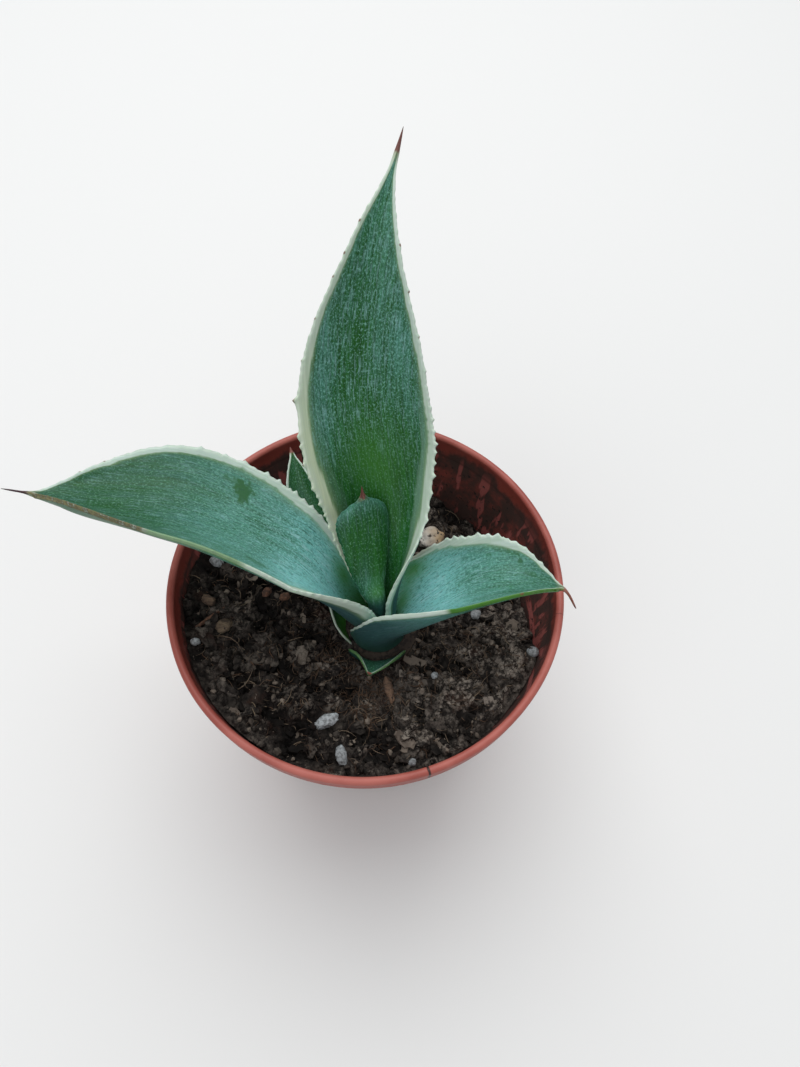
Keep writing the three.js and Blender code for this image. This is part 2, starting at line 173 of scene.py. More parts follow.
# %% [markdown]
# A plain pale floor and soft light. The plant was seen under an even, bright sky, so one very
# wide lamp stands almost overhead and a little behind, a weaker one fills the near side, and
# the world lights the rest. Wide lamps give the soft, short shadow of a studio table.

# %% Floor
bpy.context.scene.view_settings.view_transform = "Standard"
bpy.ops.mesh.primitive_plane_add(size=3)
floor = named("floor")
floor_paint = bpy.data.materials.new("floor_paint")
floor_paint.use_nodes = True
floor_shader = floor_paint.node_tree.nodes["Principled BSDF"]
floor_shader.inputs["Base Color"].default_value = (0.74, 0.74, 0.73, 1)
floor_shader.inputs["Roughness"].default_value = 0.9
floor.data.materials.append(floor_paint)

# %% Soft light
world = bpy.data.worlds.new("soft_daylight")
world.use_nodes = True
world.node_tree.nodes["Background"].inputs["Color"].default_value = (0.94, 0.97, 1, 1)
world.node_tree.nodes["Background"].inputs["Strength"].default_value = 0.5
bpy.context.scene.world = world


def area_lamp(name, place, aim, size, power):
    bpy.ops.object.light_add(type="AREA")
    lamp = bpy.context.object
    lamp.name = name
    lamp.data.size = size
    lamp.data.energy = power
    place, aim = Vector(place), Vector(aim)
    turn = (aim - place).to_track_quat("-Z", "Y").to_matrix().to_4x4()
    lamp.matrix_world = Matrix.Translation(place) @ turn
    return lamp


PLANT_MIDDLE = (0, 0, 0.07)
area_lamp("sky_window", (-0.05, 0.42, 0.98), PLANT_MIDDLE, 1.0, 9)
area_lamp("fill", (-0.35, -0.6, 0.8), PLANT_MIDDLE, 0.9, 2.6)

# %% [markdown]
# ## Finishes
#
# A material is a graph of nodes, and written out it takes many lines. So an output of a node
# is wrapped in a small class: each sum or product of two such values adds one Math node to
# their tree, and a finish reads like the formula that it is.


# %% Helpers for building materials
class Value:
    """An output of a node. Its sums and products are Math nodes in the same tree."""

    def __init__(self, socket):
        self.socket = socket

    def __add__(self, other):
        return calc("ADD", self, other)

    def __sub__(self, other):
        return calc("SUBTRACT", self, other)

    def __rsub__(self, other):
        return calc("SUBTRACT", other, self)

    def __mul__(self, other):
        return calc("MULTIPLY", self, other)

    def __truediv__(self, other):
        return calc("DIVIDE", self, other)

    def __abs__(self):
        return calc("ABSOLUTE", self)


def add_node(tree, kind, inputs, **settings):
    """Adds a node. inputs maps a socket's name or number to a number, a colour or a Value."""
    new = tree.nodes.new(kind)
    for key, value in settings.items():
        setattr(new, key, value)
    for key, value in inputs.items():
        if isinstance(value, Value):
            tree.links.new(value.socket, new.inputs[key])
        elif new.inputs[key].type == "RGBA":
            new.inputs[key].default_value = (*value, 1)
        else:
            new.inputs[key].default_value = value
    return new


def extend(kind, inputs, output, **settings):
    """Adds a node after the values among its inputs, and gives one output of it."""
    tree = next(value.socket.id_data for value in inputs.values() if isinstance(value, Value))
    return Value(add_node(tree, kind, inputs, **settings).outputs[output])


def calc(way, first, second=0.0):
    return extend("ShaderNodeMath", {0: first, 1: second}, 0, operation=way)


def clamped(value):
    """Keeps the sum or product just made between 0 and 1."""
    value.socket.node.use_clamp = True
    return value


def blend(share, below, above):
    """Lays the colour above over the colour below, as much as share says."""
    return extend("ShaderNodeMix", {0: share, 6: below, 7: above}, 2, data_type="RGBA")


def ease(value, low, high, start=0.0, end=1.0):
    """Eases from start to end while value goes from low to high."""
    inputs = {"Value": value, "From Min": low, "From Max": high, "To Min": start, "To Max": end}
    return extend("ShaderNodeMapRange", inputs, "Result", interpolation_type="SMOOTHSTEP")


def speckle(vector, scale, detail=2.0, rough=0.5):
    inputs = {"Vector": vector, "Scale": scale, "Detail": detail, "Roughness": rough}
    return extend("ShaderNodeTexNoise", inputs, "Fac")


def stretch(vector, scale):
    return extend("ShaderNodeMapping", {"Vector": vector, "Scale": scale}, "Vector")


def split(vector):
    x = extend("ShaderNodeSeparateXYZ", {0: vector}, 0)
    return [Value(socket) for socket in x.socket.node.outputs]


def flat_vector(x, y):
    return extend("ShaderNodeCombineXYZ", {0: x, 1: y}, 0)


def bump(height, strength, distance):
    inputs = {"Height": height, "Strength": strength, "Distance": distance}
    return extend("ShaderNodeBump", inputs, "Normal")


def object_place(shader):
    return Value(add_node(shader.id_data, "ShaderNodeTexCoord", {}).outputs["Object"])


def kept(shader, name, output="Vector"):
    node = add_node(shader.id_data, "ShaderNodeAttribute", {}, attribute_name=name)
    return Value(node.outputs[output])


def new_finish(name, **plain):
    """A new material and its shader, with plain numbers set on the shader."""
    material = bpy.data.materials.new(name)
    material.use_nodes = True
    shader = material.node_tree.nodes["Principled BSDF"]
    for key, value in plain.items():
        shader.inputs[key.replace("_", " ")].default_value = value
    return material, shader


def feed(shader, **values):
    for key, value in values.items():
        shader.id_data.links.new(value.socket, shader.inputs[key.replace("_", " ")])


def new_group(name, inputs, outputs):
    """A node group. inputs maps each name to its usual value, or to None for a vector."""
    tree = bpy.data.node_groups.new(name, "ShaderNodeTree")
    for label, usual in inputs.items():
        kind = "Vector" if usual is None else "Color" if isinstance(usual, tuple) else "Float"
        socket = tree.interface.new_socket(label, in_out="INPUT", socket_type="NodeSocket" + kind)
        if usual is not None:
            socket.default_value = usual
    for label in outputs:
        kind = "Color" if label == "Colour" else "Float"
        tree.interface.new_socket(label, in_out="OUTPUT", socket_type="NodeSocket" + kind)
    entry = tree.nodes.new("NodeGroupInput")
    return tree, {label: Value(entry.outputs[label]) for label in inputs}


def finish_group(group, **results):
    """Joins the results to the group's outputs."""
    leave = group.nodes.new("NodeGroupOutput")
    for label, value in results.items():
        group.links.new(value.socket, leave.inputs[label])
    print("group", group.name, "nodes:", len(group.nodes))


def use_group(group, inputs):
    tree = next(value.socket.id_data for value in inputs.values() if isinstance(value, Value))
    new = add_node(tree, "ShaderNodeGroup", inputs, node_tree=group)
    return {socket.name: Value(socket) for socket in new.outputs}


# %% [markdown]
# Peat dust gets everywhere: it dulls the inside of the pot, sticks to the rim and stains the
# perlite. It is one group, so that each material only says how much of it there is.

# %% Group: peat dust
peat_dust, dust_in = new_group(
    "peat_dust", {"Place": None, "Clean Colour": (1, 1, 1, 1), "Amount": 0.3, "Film": 0.3},
    ["Colour", "Grit"])
film_noise = speckle(dust_in["Place"], 160, 5, 0.65)
film = ease(film_noise, 0.22, 0.55) * dust_in["Film"]
grit_noise = speckle(dust_in["Place"], 900, 3, 0.6)
grit_edge = 0.86 - dust_in["Amount"] * 0.42
grit = ease(grit_noise - grit_edge, 0.0, 0.05)
filmed = blend(film, dust_in["Clean Colour"], (0.04, 0.028, 0.023))
finish_group(peat_dust, Colour=blend(grit, filmed, (0.02, 0.014, 0.011)), Grit=grit)

# %% [markdown]
# ## The pot
#
# A plant pot like this is blown or pressed from a thin sheet: one wall of even thickness, a
# collar under the rim, a rolled lip, and a floor with a raised channel where the water drains.
# It could be a spun curve or a stack of cylinders. Here a ring is drawn at the edge of the
# underside, then extruded and resized again and again along the section, up the outside, over
# the lip and down the inside, so that the whole wall is one closed skin with real thickness.

# %% Section of the pot
POT = {"rim": 42.5, "height": 74.0, "lip": 1.7, "wall": 1.1, "foot": 29.0, "collar": 5.5}
MOUTH = POT["rim"] - POT["lip"] + 0.2
LIP_TOP = POT["height"] - POT["lip"]
FLOOR_DISC = 12.0


def inner_wall(z):
    return POT["foot"] - POT["wall"] + (MOUTH - POT["foot"] + POT["wall"]) * z / LIP_TOP


def pot_section():
    collar_foot = POT["height"] - POT["collar"]
    section = [(12.3, 0.05), (12.55, 0.4), (12.95, 1.75), (13.4, 2.0), (24.8, 2.0), (25.35, 1.75),
               (26.0, 0.25), (26.4, 0.0), (28.1, 0.0), (28.7, 0.15), (29.0, 0.5)]
    section += [(inner_wall(z) + POT["wall"], z) for z in np.linspace(1.2, collar_foot - 0.7, 12)]
    section += [(41.5, 68.1), (41.62, 68.4), (41.95, 68.6), (42.15, 68.85), (42.2, 69.3), (42.25, 71),
                (42.4, 72.4)]
    middle, lip_radius = POT["rim"] - POT["lip"] / 2, POT["lip"] / 2
    for angle in np.linspace(0, math.pi, 12):
        section.append((middle + lip_radius * math.cos(angle),
                        POT["height"] - lip_radius + lip_radius * math.sin(angle)))
    section += [(inner_wall(z), z) for z in np.linspace(72.2, 2.2, 16)]
    section += [(28.0, 1.6), (27.5, 1.25), (26.1, 1.2), (24.9, 3.1), (24.5, 3.2), (13.5, 3.2), (13.1, 3.1),
                (FLOOR_DISC, 1.2)]
    return section


print("section points:", len(pot_section()), "mouth radius:", MOUTH, "mm")

# %% [markdown]
# A ring of 168 points is fine enough for a round rim. The helper does what the hand would do:
# it extrudes the edges, then resizes them about the pot's axis. The last ring is closed with a
# face, which is the flat disc in the middle of the floor.

# %% Extrude the pot ring by ring
bpy.ops.mesh.primitive_circle_add(vertices=168, radius=FLOOR_DISC * MM, fill_type="NOTHING")
pot = named("pot_moulding")
open_edit(pot)
bpy.ops.mesh.select_mode(type="EDGE")
bpy.ops.mesh.select_all(action="SELECT")
bpy.ops.mesh.edge_face_add()
bpy.ops.mesh.select_all(action="SELECT")
extrude_rings(bpy.ops.mesh.extrude_edges_move, pot_section(), (FLOOR_DISC, 0))
bpy.ops.mesh.edge_face_add()
close_edit()
print("pot rings:", len(pot_section()) + 1, "points:", len(pot.data.vertices))

# %% [markdown]
# Water runs out through eight round holes in the raised channel. Cutting them into the rings
# by hand would spoil the even mesh, so eight short rods are joined to one drill, and a Boolean
# takes the drill away from the floor.

# %% Drill the drainage holes
HOLES = {"count": 8, "radius": 3, "circle": 19.15, "middle": 2.6}
drills = []
for hole in range(HOLES["count"]):
    angle = (hole + 0.5) / HOLES["count"] * math.tau
    x, y = HOLES["circle"] * math.cos(angle), HOLES["circle"] * math.sin(angle)
    bpy.ops.mesh.primitive_cylinder_add(
        vertices=32, radius=HOLES["radius"] * MM, depth=9 * MM,
        location=(x * MM, y * MM, HOLES["middle"] * MM))
    drills.append(bpy.context.object)
only(drills[0])
for drill in drills:
    drill.select_set(True)
bpy.ops.object.join()
drill = named("drill")
bpy.ops.object.transform_apply(location=True, rotation=True, scale=True)
cut = pot.modifiers.new("holes", "BOOLEAN")
cut.object = drill
cut.operation = "DIFFERENCE"
cut.solver = "EXACT"
press_modifiers(pot)
bpy.data.objects.remove(drill)
print("pot with its holes:", len(pot.data.polygons), "faces")

# %% [markdown]
# The mould isn't perfect: the wall waves by a tenth of a millimetre and the rim is not quite
# even. The inside is marked on its points, because peat only clings there.

# %% Uneven wall and the mark for the inside
points = points_of(pot)
around = np.arctan2(points[:, 1], points[:, 0])
out = np.hypot(points[:, 0], points[:, 1])
wave = np.array([noise.noise(Vector((2.2 * math.cos(a), 2.2 * math.sin(a), z / 25)))
                 for a, z in zip(around, points[:, 2])])
high = mix_range(points[:, 2], 5, 60)
points[:, 0] += np.cos(around) * wave * 0.12 * high
points[:, 1] += np.sin(around) * wave * 0.12 * high
set_points(pot, points)
inside = (out < inner_wall(points[:, 2]) + 0.35) & (points[:, 2] > 1.1) & (points[:, 2] < 73.2)
store(pot, "inside", inside.astype(float))
smooth(pot, 35)
print("points marked as inside:", int(inside.sum()))

# %% [markdown]
# The plastic is a dusty red terracotta colour with a satin skin. A single red would look like
# a toy, so the colour is built in layers: a faint mottle, fine scuffs, then the film of dried
# peat, then the crack. The film only lies inside and grows thicker towards the peat. Water has
# rinsed streaks in it, so its noise is drawn out along Z. On the right a strip just above the
# peat has been rinsed clean: its height follows the bank of the peat. Streaks and strip are
# painted paler than the clean plastic: real clean marks, with painted light on the shaded inside wall.

# %% Finish: terracotta-coloured plastic, its film of peat
plastic, shader = new_finish("pot_plastic", Roughness=0.5, Specular_IOR_Level=0.35)
where = object_place(shader)
x, y, z = split(where)
mottle = speckle(where, 60, 4, 0.6)
fine = speckle(where, 1500, 2, 0.5)
base = blend(ease(mottle, 0.3, 0.75), (0.245, 0.047, 0.034), (0.295, 0.06, 0.045))
base = blend(ease(fine, 0.6, 0.74, 0, 0.18), base, (0.4, 0.15, 0.115))
# Painted highlight: the top of the lip is made paler in patches.
painted_lip_highlight = ease(z, 0.0725, 0.0737) * ease(mottle, 0.35, 0.65, 0.15, 0.6)
base = blend(painted_lip_highlight, base, (0.47, 0.15, 0.12))
is_inside = kept(shader, "inside", "Fac")
streaks = speckle(stretch(where, (250, 250, 45)), 1, 3, 0.6)
smear = speckle(stretch(where, (85, 85, 50)), 1, 6, 0.7)
clinging = smear + streaks * 0.5
clinging = clinging + ease(z, 0.0728, 0.066, -0.14, 0.24)
clinging = clinging + ease(x, -0.01, 0.03, -0.05, 0.06)
film_share = ease(clinging, 0.68, 0.86) * is_inside
film_share = film_share * ease(z, 0.0733, 0.0705)
washed_and_lit_streaks = ease(streaks, 0.54, 0.6) * ease(z, 0.0715, 0.067, 0.1, 0.8)
BANK_LEVEL, BANK_CURVE, BANK_SLOPE = 0.0568, 20, 0.2
bank = y * y * BANK_CURVE + BANK_LEVEL - y * BANK_SLOPE
clean_and_lit_strip = abs(z - bank) + (smear - 0.5) * 0.004
clean_and_lit_strip = ease(clean_and_lit_strip, 0.0016, 0.0008) * ease(y, 0.007, 0.003) * ease(x, 0.03, 0.034)
washed_and_lit_streaks = calc("MAXIMUM", washed_and_lit_streaks, clean_and_lit_strip)
# Painted light: the rinsed streaks and the clean strip are made paler than the clean plastic.
painted_light_on_washed = washed_and_lit_streaks * is_inside * 0.8
base = blend(painted_light_on_washed, base, (0.44, 0.13, 0.12))
film_share = film_share * (1 - washed_and_lit_streaks)
outside_foot = ease(z, 0.02, 0.0) * 0.25
film_all = clamped(film_share * 0.92 + outside_foot)
grit_inside = is_inside * 0.42 * ease(z, 0.0735, 0.064)
dusted = use_group(peat_dust, {
    "Place": where, "Clean Colour": base, "Film": film_all, "Amount": grit_inside + 0.2})
print("film and grit laid on the plastic:", plastic.name)

# %% [markdown]
# Cheap plastic splits at the lip. The split at the front right is a thin dark line that runs
# straight down, so it is drawn at one angle about the axis, wavering a little with noise. A
# shorter one lies on the right. The groove under the collar gets a thin line of painted shade.

# %% Finish: terracotta-coloured plastic, its cracks
around = calc("ARCTAN2", y, x)
wobble = (speckle(where, 700, 2) - 0.5) * 0.012


def crack_line(angle, width):
    away = abs(around + wobble - angle)
    return ease(away, width, width * 0.35) * ease(z, 0.0688, 0.07)


FRONT_CRACK, SIDE_CRACK = -1.223, -0.137
cracks = calc("MAXIMUM", crack_line(FRONT_CRACK, 0.009), crack_line(SIDE_CRACK, 0.003) * 0.6)
# Painted shade: a dark line in the groove under the collar.
painted_collar_shade = abs(z - 0.0685)
painted_collar_shade = ease(painted_collar_shade, 0.0005, 0.0002) * 0.45
coloured = blend(calc("MAXIMUM", cracks, painted_collar_shade), dusted["Colour"], (0.03, 0.012, 0.01))
rough = clamped(ease(mottle, 0.3, 0.7, 0.42, 0.56) + film_all * 0.35)
relief = fine * 0.12 + cracks * -0.8
relief = relief + dusted["Grit"] * 0.5
feed(shader, Base_Color=coloured, Roughness=rough, Normal=bump(relief, 0.5, 0.0003))
settle(pot, "pot", "pot_plastic", plastic)

# %% [markdown]
# ## The peat
#
# The peat isn't level: it is banked up on the left, touches the rim in front and lies low on
# the right. One formula gives its height anywhere, so that all that lies on it finds its seat.
# The grains have fixed places, and the peat is kept calm round each, so that none is buried.

# %% Lie of the peat and the seats of the grains
SOIL_LEVEL = 59.9
SOIL_SLOPE = (-0.19, -0.11)
SOIL_SWELLS = [(10, 37, -13, 7), (6, 28, -27, 10), (1.8, 10, 1, 6), (-2.2, 1, -16, 6)]
STEM_FOOT = (2.6, -4.6)
NECK_EDGE = 9.2
GRAINS = {  # place on the peat, half lengths, turn about Z
    "perlite_front": ((-6.8, -28), (2.9, 1.5, 1.4), 25),
    "perlite_front_low": ((-3.3, -35), (1.2, 2.2, 1.2), 12),
    "perlite_right": ((36.6, -11.4), (1.4, 1.3, 1.2), 0),
    "perlite_middle": ((25.3, 0.9), (1.4, 1.3, 1.1), 40),
    "perlite_small": ((15.7, -16), (0.9, 0.8, 0.8), 0),
    "perlite_rim": ((11.3, -35.4), (0.9, 0.8, 0.8), 70),
    "perlite_left": ((-35.6, -13.4), (1.1, 0.9, 0.9), 10),
    "perlite_shaded": ((-34.6, 7.1), (1.9, 1.3, 1.2), -20),
    "pebble": ((14.2, 21), (3.8, 3, 2.3), 15),
    "bark_left": ((-30.6, -8.6), (2.1, 1.6, 1), 35),
    "bark_far_left": ((-34.6, -3), (1.7, 1.1, 0.9), -25),
    "bark_chip": ((-22.5, 0.6), (1.5, 1, 0.8), 60),
    "bark_sliver": ((5.8, -19.6), (1, 3.4, 0.8), 16),
}
SEATS = {**GRAINS, "bark_scrap": ((-18.6, 0.1), (1.3, 0.9, 0.8), 20)}


def soil_top(x, y):
    crumbs = (np.sin(0.55 * x + 1.3) * np.cos(0.48 * y - 0.4) + 0.6 * np.sin(1.05 * x - 0.9 * y + 2.1)
              + 0.5 * np.cos(0.8 * x + 1.2 * y))
    swells = sum(h * np.exp(-((x - cx) ** 2 + (y - cy) ** 2) / (2 * reach**2))
                 for h, cx, cy, reach in SOIL_SWELLS)
    return SOIL_LEVEL + SOIL_SLOPE[0] * x + SOIL_SLOPE[1] * y + 0.55 * crumbs / 1.4 + swells


def calm(x, y):
    """0 under a grain, 1 away from all of them."""
    share = 1.0
    for (gx, gy), size, _ in SEATS.values():
        away = math.hypot(x - gx, y - gy) / max(size[:2])
        share = min(share, float(mix_range(away, 0.7, 1.9)))
    return share


print("peat stands", round(float(soil_top(-30, 0)), 1), "mm high on the left and",
      round(float(soil_top(25, 20)), 1), "mm at the back right")

# %% [markdown]
# Old peat is a heap of clods with deep cracks between them, crumbs on the clods and grit on
# the crumbs. Cells of noise give lumps with sharp gaps, and three sizes of them are laid on
# each other. Their places are pushed about by another noise first, or the lumps would be round.


# %% Roughness of the peat
def lumps_at(x, y, size, seed):
    """Lumps of one size: high in the middle of each, low between them."""
    nearest = noise.voronoi(Vector((x / size, y / size, seed)))[0]
    return 0.55 - nearest[0]


def peat_height(x, y):
    """The fine surface: the soft swells with clods, lumps, crumbs and grit on them."""
    free = 1 - 0.6 * float(mix_range(math.hypot(x, y), 35.5, 39.5))
    neck = float(mix_range(math.hypot(x - STEM_FOOT[0], y - STEM_FOOT[1]), 9, 15))
    push = noise.noise_vector(Vector((x / 3, y / 3, 8.0)))
    wx, wy = x + 2.6 * push[0], y + 2.6 * push[1]
    clods = noise.fractal(Vector((x / 9, y / 9, 3.1)), 1, 2, 4) * 2.0 + lumps_at(wx, wy, 7.5, 1.7) * 3.1
    lumps = lumps_at(wx, wy, 3.4, 5.2) * 2.7 + lumps_at(wx, wy, 1.4, 9.4) * 1.4
    grit = noise.noise(Vector((x / 0.6, y / 0.6, 2.0))) * 0.35
    rough = clods * neck + (lumps + grit) * (0.35 + 0.65 * neck)
    return float(soil_top(x, y)) + rough * free * (0.2 + 0.8 * calm(x, y)) - 0.5


heights = [peat_height(x, y) - float(soil_top(x, y)) for x in range(-25, 30, 3) for y in range(-30, 30, 3)]
print("peat goes", round(min(heights), 1), "to", round(max(heights), 1), "mm from its even lie")

# %% [markdown]
# The bed itself could be a disc, but a disc has long thin cells at its middle. So a square
# grid is pressed into a round one, which keeps its cells even from the middle to the wall.
# Each point is then raised to the peat's height, and the edge is drawn down to the pot's floor.

# %% Bed of peat
bpy.ops.mesh.primitive_grid_add(x_subdivisions=250, y_subdivisions=250, size=2)
peat = named("peat_bed")
square = points_of(peat)[:, :2] * MM
longer = np.maximum(np.abs(square[:, 0]), np.abs(square[:, 1]))
length = np.hypot(square[:, 0], square[:, 1])
disc = square * (longer / np.maximum(length, 1e-9))[:, None]
heading = np.arctan2(disc[:, 1], disc[:, 0])


def wall_reach(heading):
    """Distance from the pot's axis to the peat's edge, where it meets the sloping wall."""
    reach = np.full_like(heading, 38.0)
    for _ in range(5):
        reach = inner_wall(soil_top(reach * np.cos(heading), reach * np.sin(heading))) - 0.3
    return reach


share = np.hypot(disc[:, 0], disc[:, 1])
reach = wall_reach(heading)
flat_bed = np.column_stack([share * reach * np.cos(heading), share * reach * np.sin(heading)])
bed = np.column_stack([flat_bed, [peat_height(px, py) for px, py in flat_bed]])
set_points(peat, bed)
open_edit(peat)
bpy.ops.mesh.region_to_loop()
for depth, shrink, flatten, middle in ((30, 0.83, 0, 25), (21, 0.87, 1, 4)):
    bpy.ops.mesh.extrude_edges_move(TRANSFORM_OT_translate={"value": (0, 0, -depth * MM)})
    bpy.ops.transform.resize(value=(shrink, shrink, flatten), center_override=(0, 0, middle * MM))
bpy.ops.mesh.edge_face_add()
close_edit()
smooth(peat, 40)
ring = points_of(peat)
ring = ring[ring[:, 2] < 40]
gap = (inner_wall(ring[:, 2]) - np.hypot(ring[:, 0], ring[:, 1])).min()
print("the peat's foot clears the wall by", round(float(gap), 2), "mm")

# %% [markdown]
# Damp peat is almost black, dry peat a dull grey brown, and the peat is paler towards the right.
# The bed, the crumbs and the fibres are one stuff, so they share one group for their browns.
# It reads the place in space, so that a crumb matches the peat that it lies on, and how far
# a point stands above the even lie: hollows get a near black painted shade, crests a pale
# painted light, stronger on the right.

# %% Group: peat browns
peat_browns, brown_in = new_group(
    "peat_browns", {"Place": None, "Shade": 0.5, "Rise": 0.5}, ["Colour", "Height"])
bx, _, _ = split(brown_in["Place"])
patches = speckle(brown_in["Place"], 55, 4, 0.6)
crumbly = speckle(brown_in["Place"], 700, 6, 0.75)
rusty = speckle(brown_in["Place"], 120, 3, 0.6)
dry = ease(bx, -0.015, 0.03, 0.0, 0.65) + ease(patches, 0.42, 0.66, 0.0, 0.5)
dry = clamped(dry * (brown_in["Shade"] + 0.3))
damp_colour = blend(ease(crumbly, 0.35, 0.7), (0.004, 0.003, 0.0027), (0.017, 0.012, 0.01))
dry_colour = blend(ease(crumbly, 0.35, 0.68), (0.016, 0.013, 0.011), (0.24, 0.205, 0.175))
peaty = blend(dry, damp_colour, dry_colour)
peaty = blend(ease(rusty, 0.55, 0.7, 0, 0.5), peaty, (0.05, 0.022, 0.014))
# Painted shade: hollows below the even lie are darkened to near black.
painted_hollow_shade = ease(brown_in["Rise"], 0.15, -0.9, 0, 0.92)
peaty = blend(painted_hollow_shade, peaty, (0.004, 0.003, 0.0025))
# Painted light: crests above the even lie are made paler, more so on the right.
painted_crest_light = ease(brown_in["Rise"], 0.1, 1.5, 0.03, 0.95) * ease(crumbly, 0.46, 0.58)
painted_crest_light = painted_crest_light * ease(bx, -0.02, 0.012, 0.28, 1.0)
peaty = blend(painted_crest_light, peaty, (0.25, 0.215, 0.18))
finish_group(peat_browns, Colour=peaty, Height=crumbly)

# %% Finish: peat
bed_points = points_of(peat)
store(peat, "rise", bed_points[:, 2] - soil_top(bed_points[:, 0], bed_points[:, 1]) + 0.5)
peat_finish, shader = new_finish("damp_peat", Roughness=0.95, Specular_IOR_Level=0.2)
browns = use_group(peat_browns, {
    "Place": object_place(shader), "Shade": 0.4, "Rise": kept(shader, "rise", "Fac")})
feed(shader, Base_Color=browns["Colour"], Normal=bump(browns["Height"], 0.9, 0.0006))
settle(peat, "soil", "peat", peat_finish)

# %% [markdown]
# Loose crumbs, flakes and fibres make peat look like peat. Each is modelled once, small and
# plain, and copied many times with its own turn, size and shade, and the copies of one kind
# are joined to one piece. A hair system could do this too, but a joined mesh is a thing that
# any program can read.


# %% Scatter copies of a small shape over the peat
def scatter(name, pattern_faces, copies, round_off=True):
    """copies holds, for each copy: its shape's points, its middle, a 3 by 3 turn and a shade."""
    verts, faces, shades, rises = [], [], [], []
    for k, (shape, middle, turn, shade) in enumerate(copies):
        verts.append(shape @ turn.T + middle)
        faces.append(pattern_faces + k * len(shape))
        shades.append(np.full(len(shape), shade))
        rises.append(np.full(len(shape), middle[2] - soil_top(*middle[:2])))
    mesh = bpy.data.meshes.new(name)
    mesh.from_pydata((np.concatenate(verts) * MM).tolist(), [], np.concatenate(faces).tolist())
    piece = bpy.data.objects.new(name, mesh)
    bpy.context.scene.collection.objects.link(piece)
    store(piece, "shade", np.concatenate(shades))
    store(piece, "rise", np.concatenate(rises))
    if round_off:
        smooth(piece)
    print(f"{name}: {len(copies)} copies of {len(pattern_faces)} faces")
    return piece


def pattern_of(piece):
    """Points and triangles of a small model; the model itself is cleared away."""
    open_edit(piece)
    bpy.ops.mesh.quads_convert_to_tris()
    bpy.ops.object.mode_set(mode="OBJECT")
    faces = np.array([list(face.vertices) for face in piece.data.polygons])
    points = points_of(piece)
    bpy.data.objects.remove(piece)
    return points, faces


def cut_across(piece, axis, normal, places):
    """Cuts a piece by planes at the given places along an axis."""
    for place in places:
        open_edit(piece)
        bpy.ops.mesh.bisect(plane_co=Vector(axis) * place * MM, plane_no=normal)
        bpy.ops.object.mode_set(mode="OBJECT")


def turned(rng, tilt_most=math.pi, roll_most=math.pi):
    """A random turn about Z, with a tilt and a roll of at most the given angles."""
    spin = Matrix.Rotation(rng.uniform(0, math.tau), 3, "Z")
    tilt = Matrix.Rotation(rng.uniform(-tilt_most, tilt_most), 3, "Y")
    roll = Matrix.Rotation(rng.uniform(-roll_most, roll_most), 3, "X")
    return np.array(spin @ tilt @ roll)


def peat_spot(rng, outer):
    """A random place on the peat, clear of the stem and the grains, up to a share of its radius."""
    while True:
        heading = rng.uniform(0, math.tau)
        out = math.sqrt(rng.random()) * float(wall_reach(np.array([heading]))[0]) * outer
        x, y = out * math.cos(heading), out * math.sin(heading)
        if math.hypot(x - STEM_FOOT[0], y - STEM_FOOT[1]) > NECK_EDGE and calm(x, y) > 0.15:
            return x, y


def on_peat(x, y, above):
    return np.array([x, y, peat_height(x, y) + above])


# %% [markdown]
# A crumb is an icosphere of twenty faces with its corners pushed in and out. Its faces stay
# flat, because broken peat is angular. Most crumbs are tiny, a few are a millimetre.

# %% Crumbs
rng = random.Random(11)
bpy.ops.mesh.primitive_ico_sphere_add(subdivisions=1, radius=MM)
crumb = named("crumb")
rough_points = points_of(crumb)
set_points(crumb, rough_points * np.array([[rng.uniform(0.65, 1.2)] for _ in rough_points]))
crumb_points, crumb_faces = pattern_of(crumb)
CRUMB_COUNT, FLAKE_COUNT, FIBRE_COUNT = 6000, 1500, 2700
NEAR_WALL, OFF_WALL = 0.985, 0.94
crumbs = []
for _ in range(CRUMB_COUNT):
    x, y = peat_spot(rng, NEAR_WALL)
    size = 0.15 + 1.1 * rng.random() ** 4
    shape = crumb_points * (size, size * rng.uniform(0.5, 1), size * rng.uniform(0.4, 0.9))
    crumbs.append((shape, on_peat(x, y, size * 0.3), turned(rng), rng.random()))
peat_crumbs = scatter("peat_crumbs", crumb_faces, crumbs, round_off=False)

# %% [markdown]
# Flakes are flat scraps of root, bark and leaf, a millimetre or two long, curled as they
# dried. One is a cube flattened, cut across three times and bent, with its ends drawn in.

# %% Flakes
bpy.ops.mesh.primitive_cube_add(size=2 * MM)
flake = named("flake")
cut_across(flake, (1, 0, 0), (1, 0.25, 0), (-0.45, 0.1, 0.5))
scrap = points_of(flake)
scrap[:, 1] *= 0.55 * (1 - 0.55 * np.abs(scrap[:, 0]) ** 1.5) + 0.12 * np.sin(7 * scrap[:, 0])
scrap[:, 2] = scrap[:, 2] * 0.09 + 0.3 * scrap[:, 0] ** 2 + 0.25 * scrap[:, 1] ** 2
set_points(flake, scrap)
flake_points, flake_faces = pattern_of(flake)
flakes = []
for _ in range(FLAKE_COUNT):
    x, y = peat_spot(rng, OFF_WALL)
    size = 0.5 + 2.1 * rng.random() ** 4
    shape = flake_points * (size, size * rng.uniform(0.6, 1.3), size * rng.uniform(0.6, 1.2))
    flakes.append((shape, on_peat(x, y, size * 0.1), turned(rng, 0.7, 0.7), rng.random() ** 1.5))
peat_flakes = scatter("peat_flakes", flake_faces, flakes, round_off=False)

# %% [markdown]
# Peat is mostly fibre: short dark curled hairs, matted on the clods, and here and there a pale
# straw. One fibre is a four-sided rod, cut into five, thin at its ends. Each copy is stretched
# to its own length and bent into its own bow and wave before it is turned. Four clumps lie in
# front of the neck, where the peat is matted, and six long straws have places of their own.

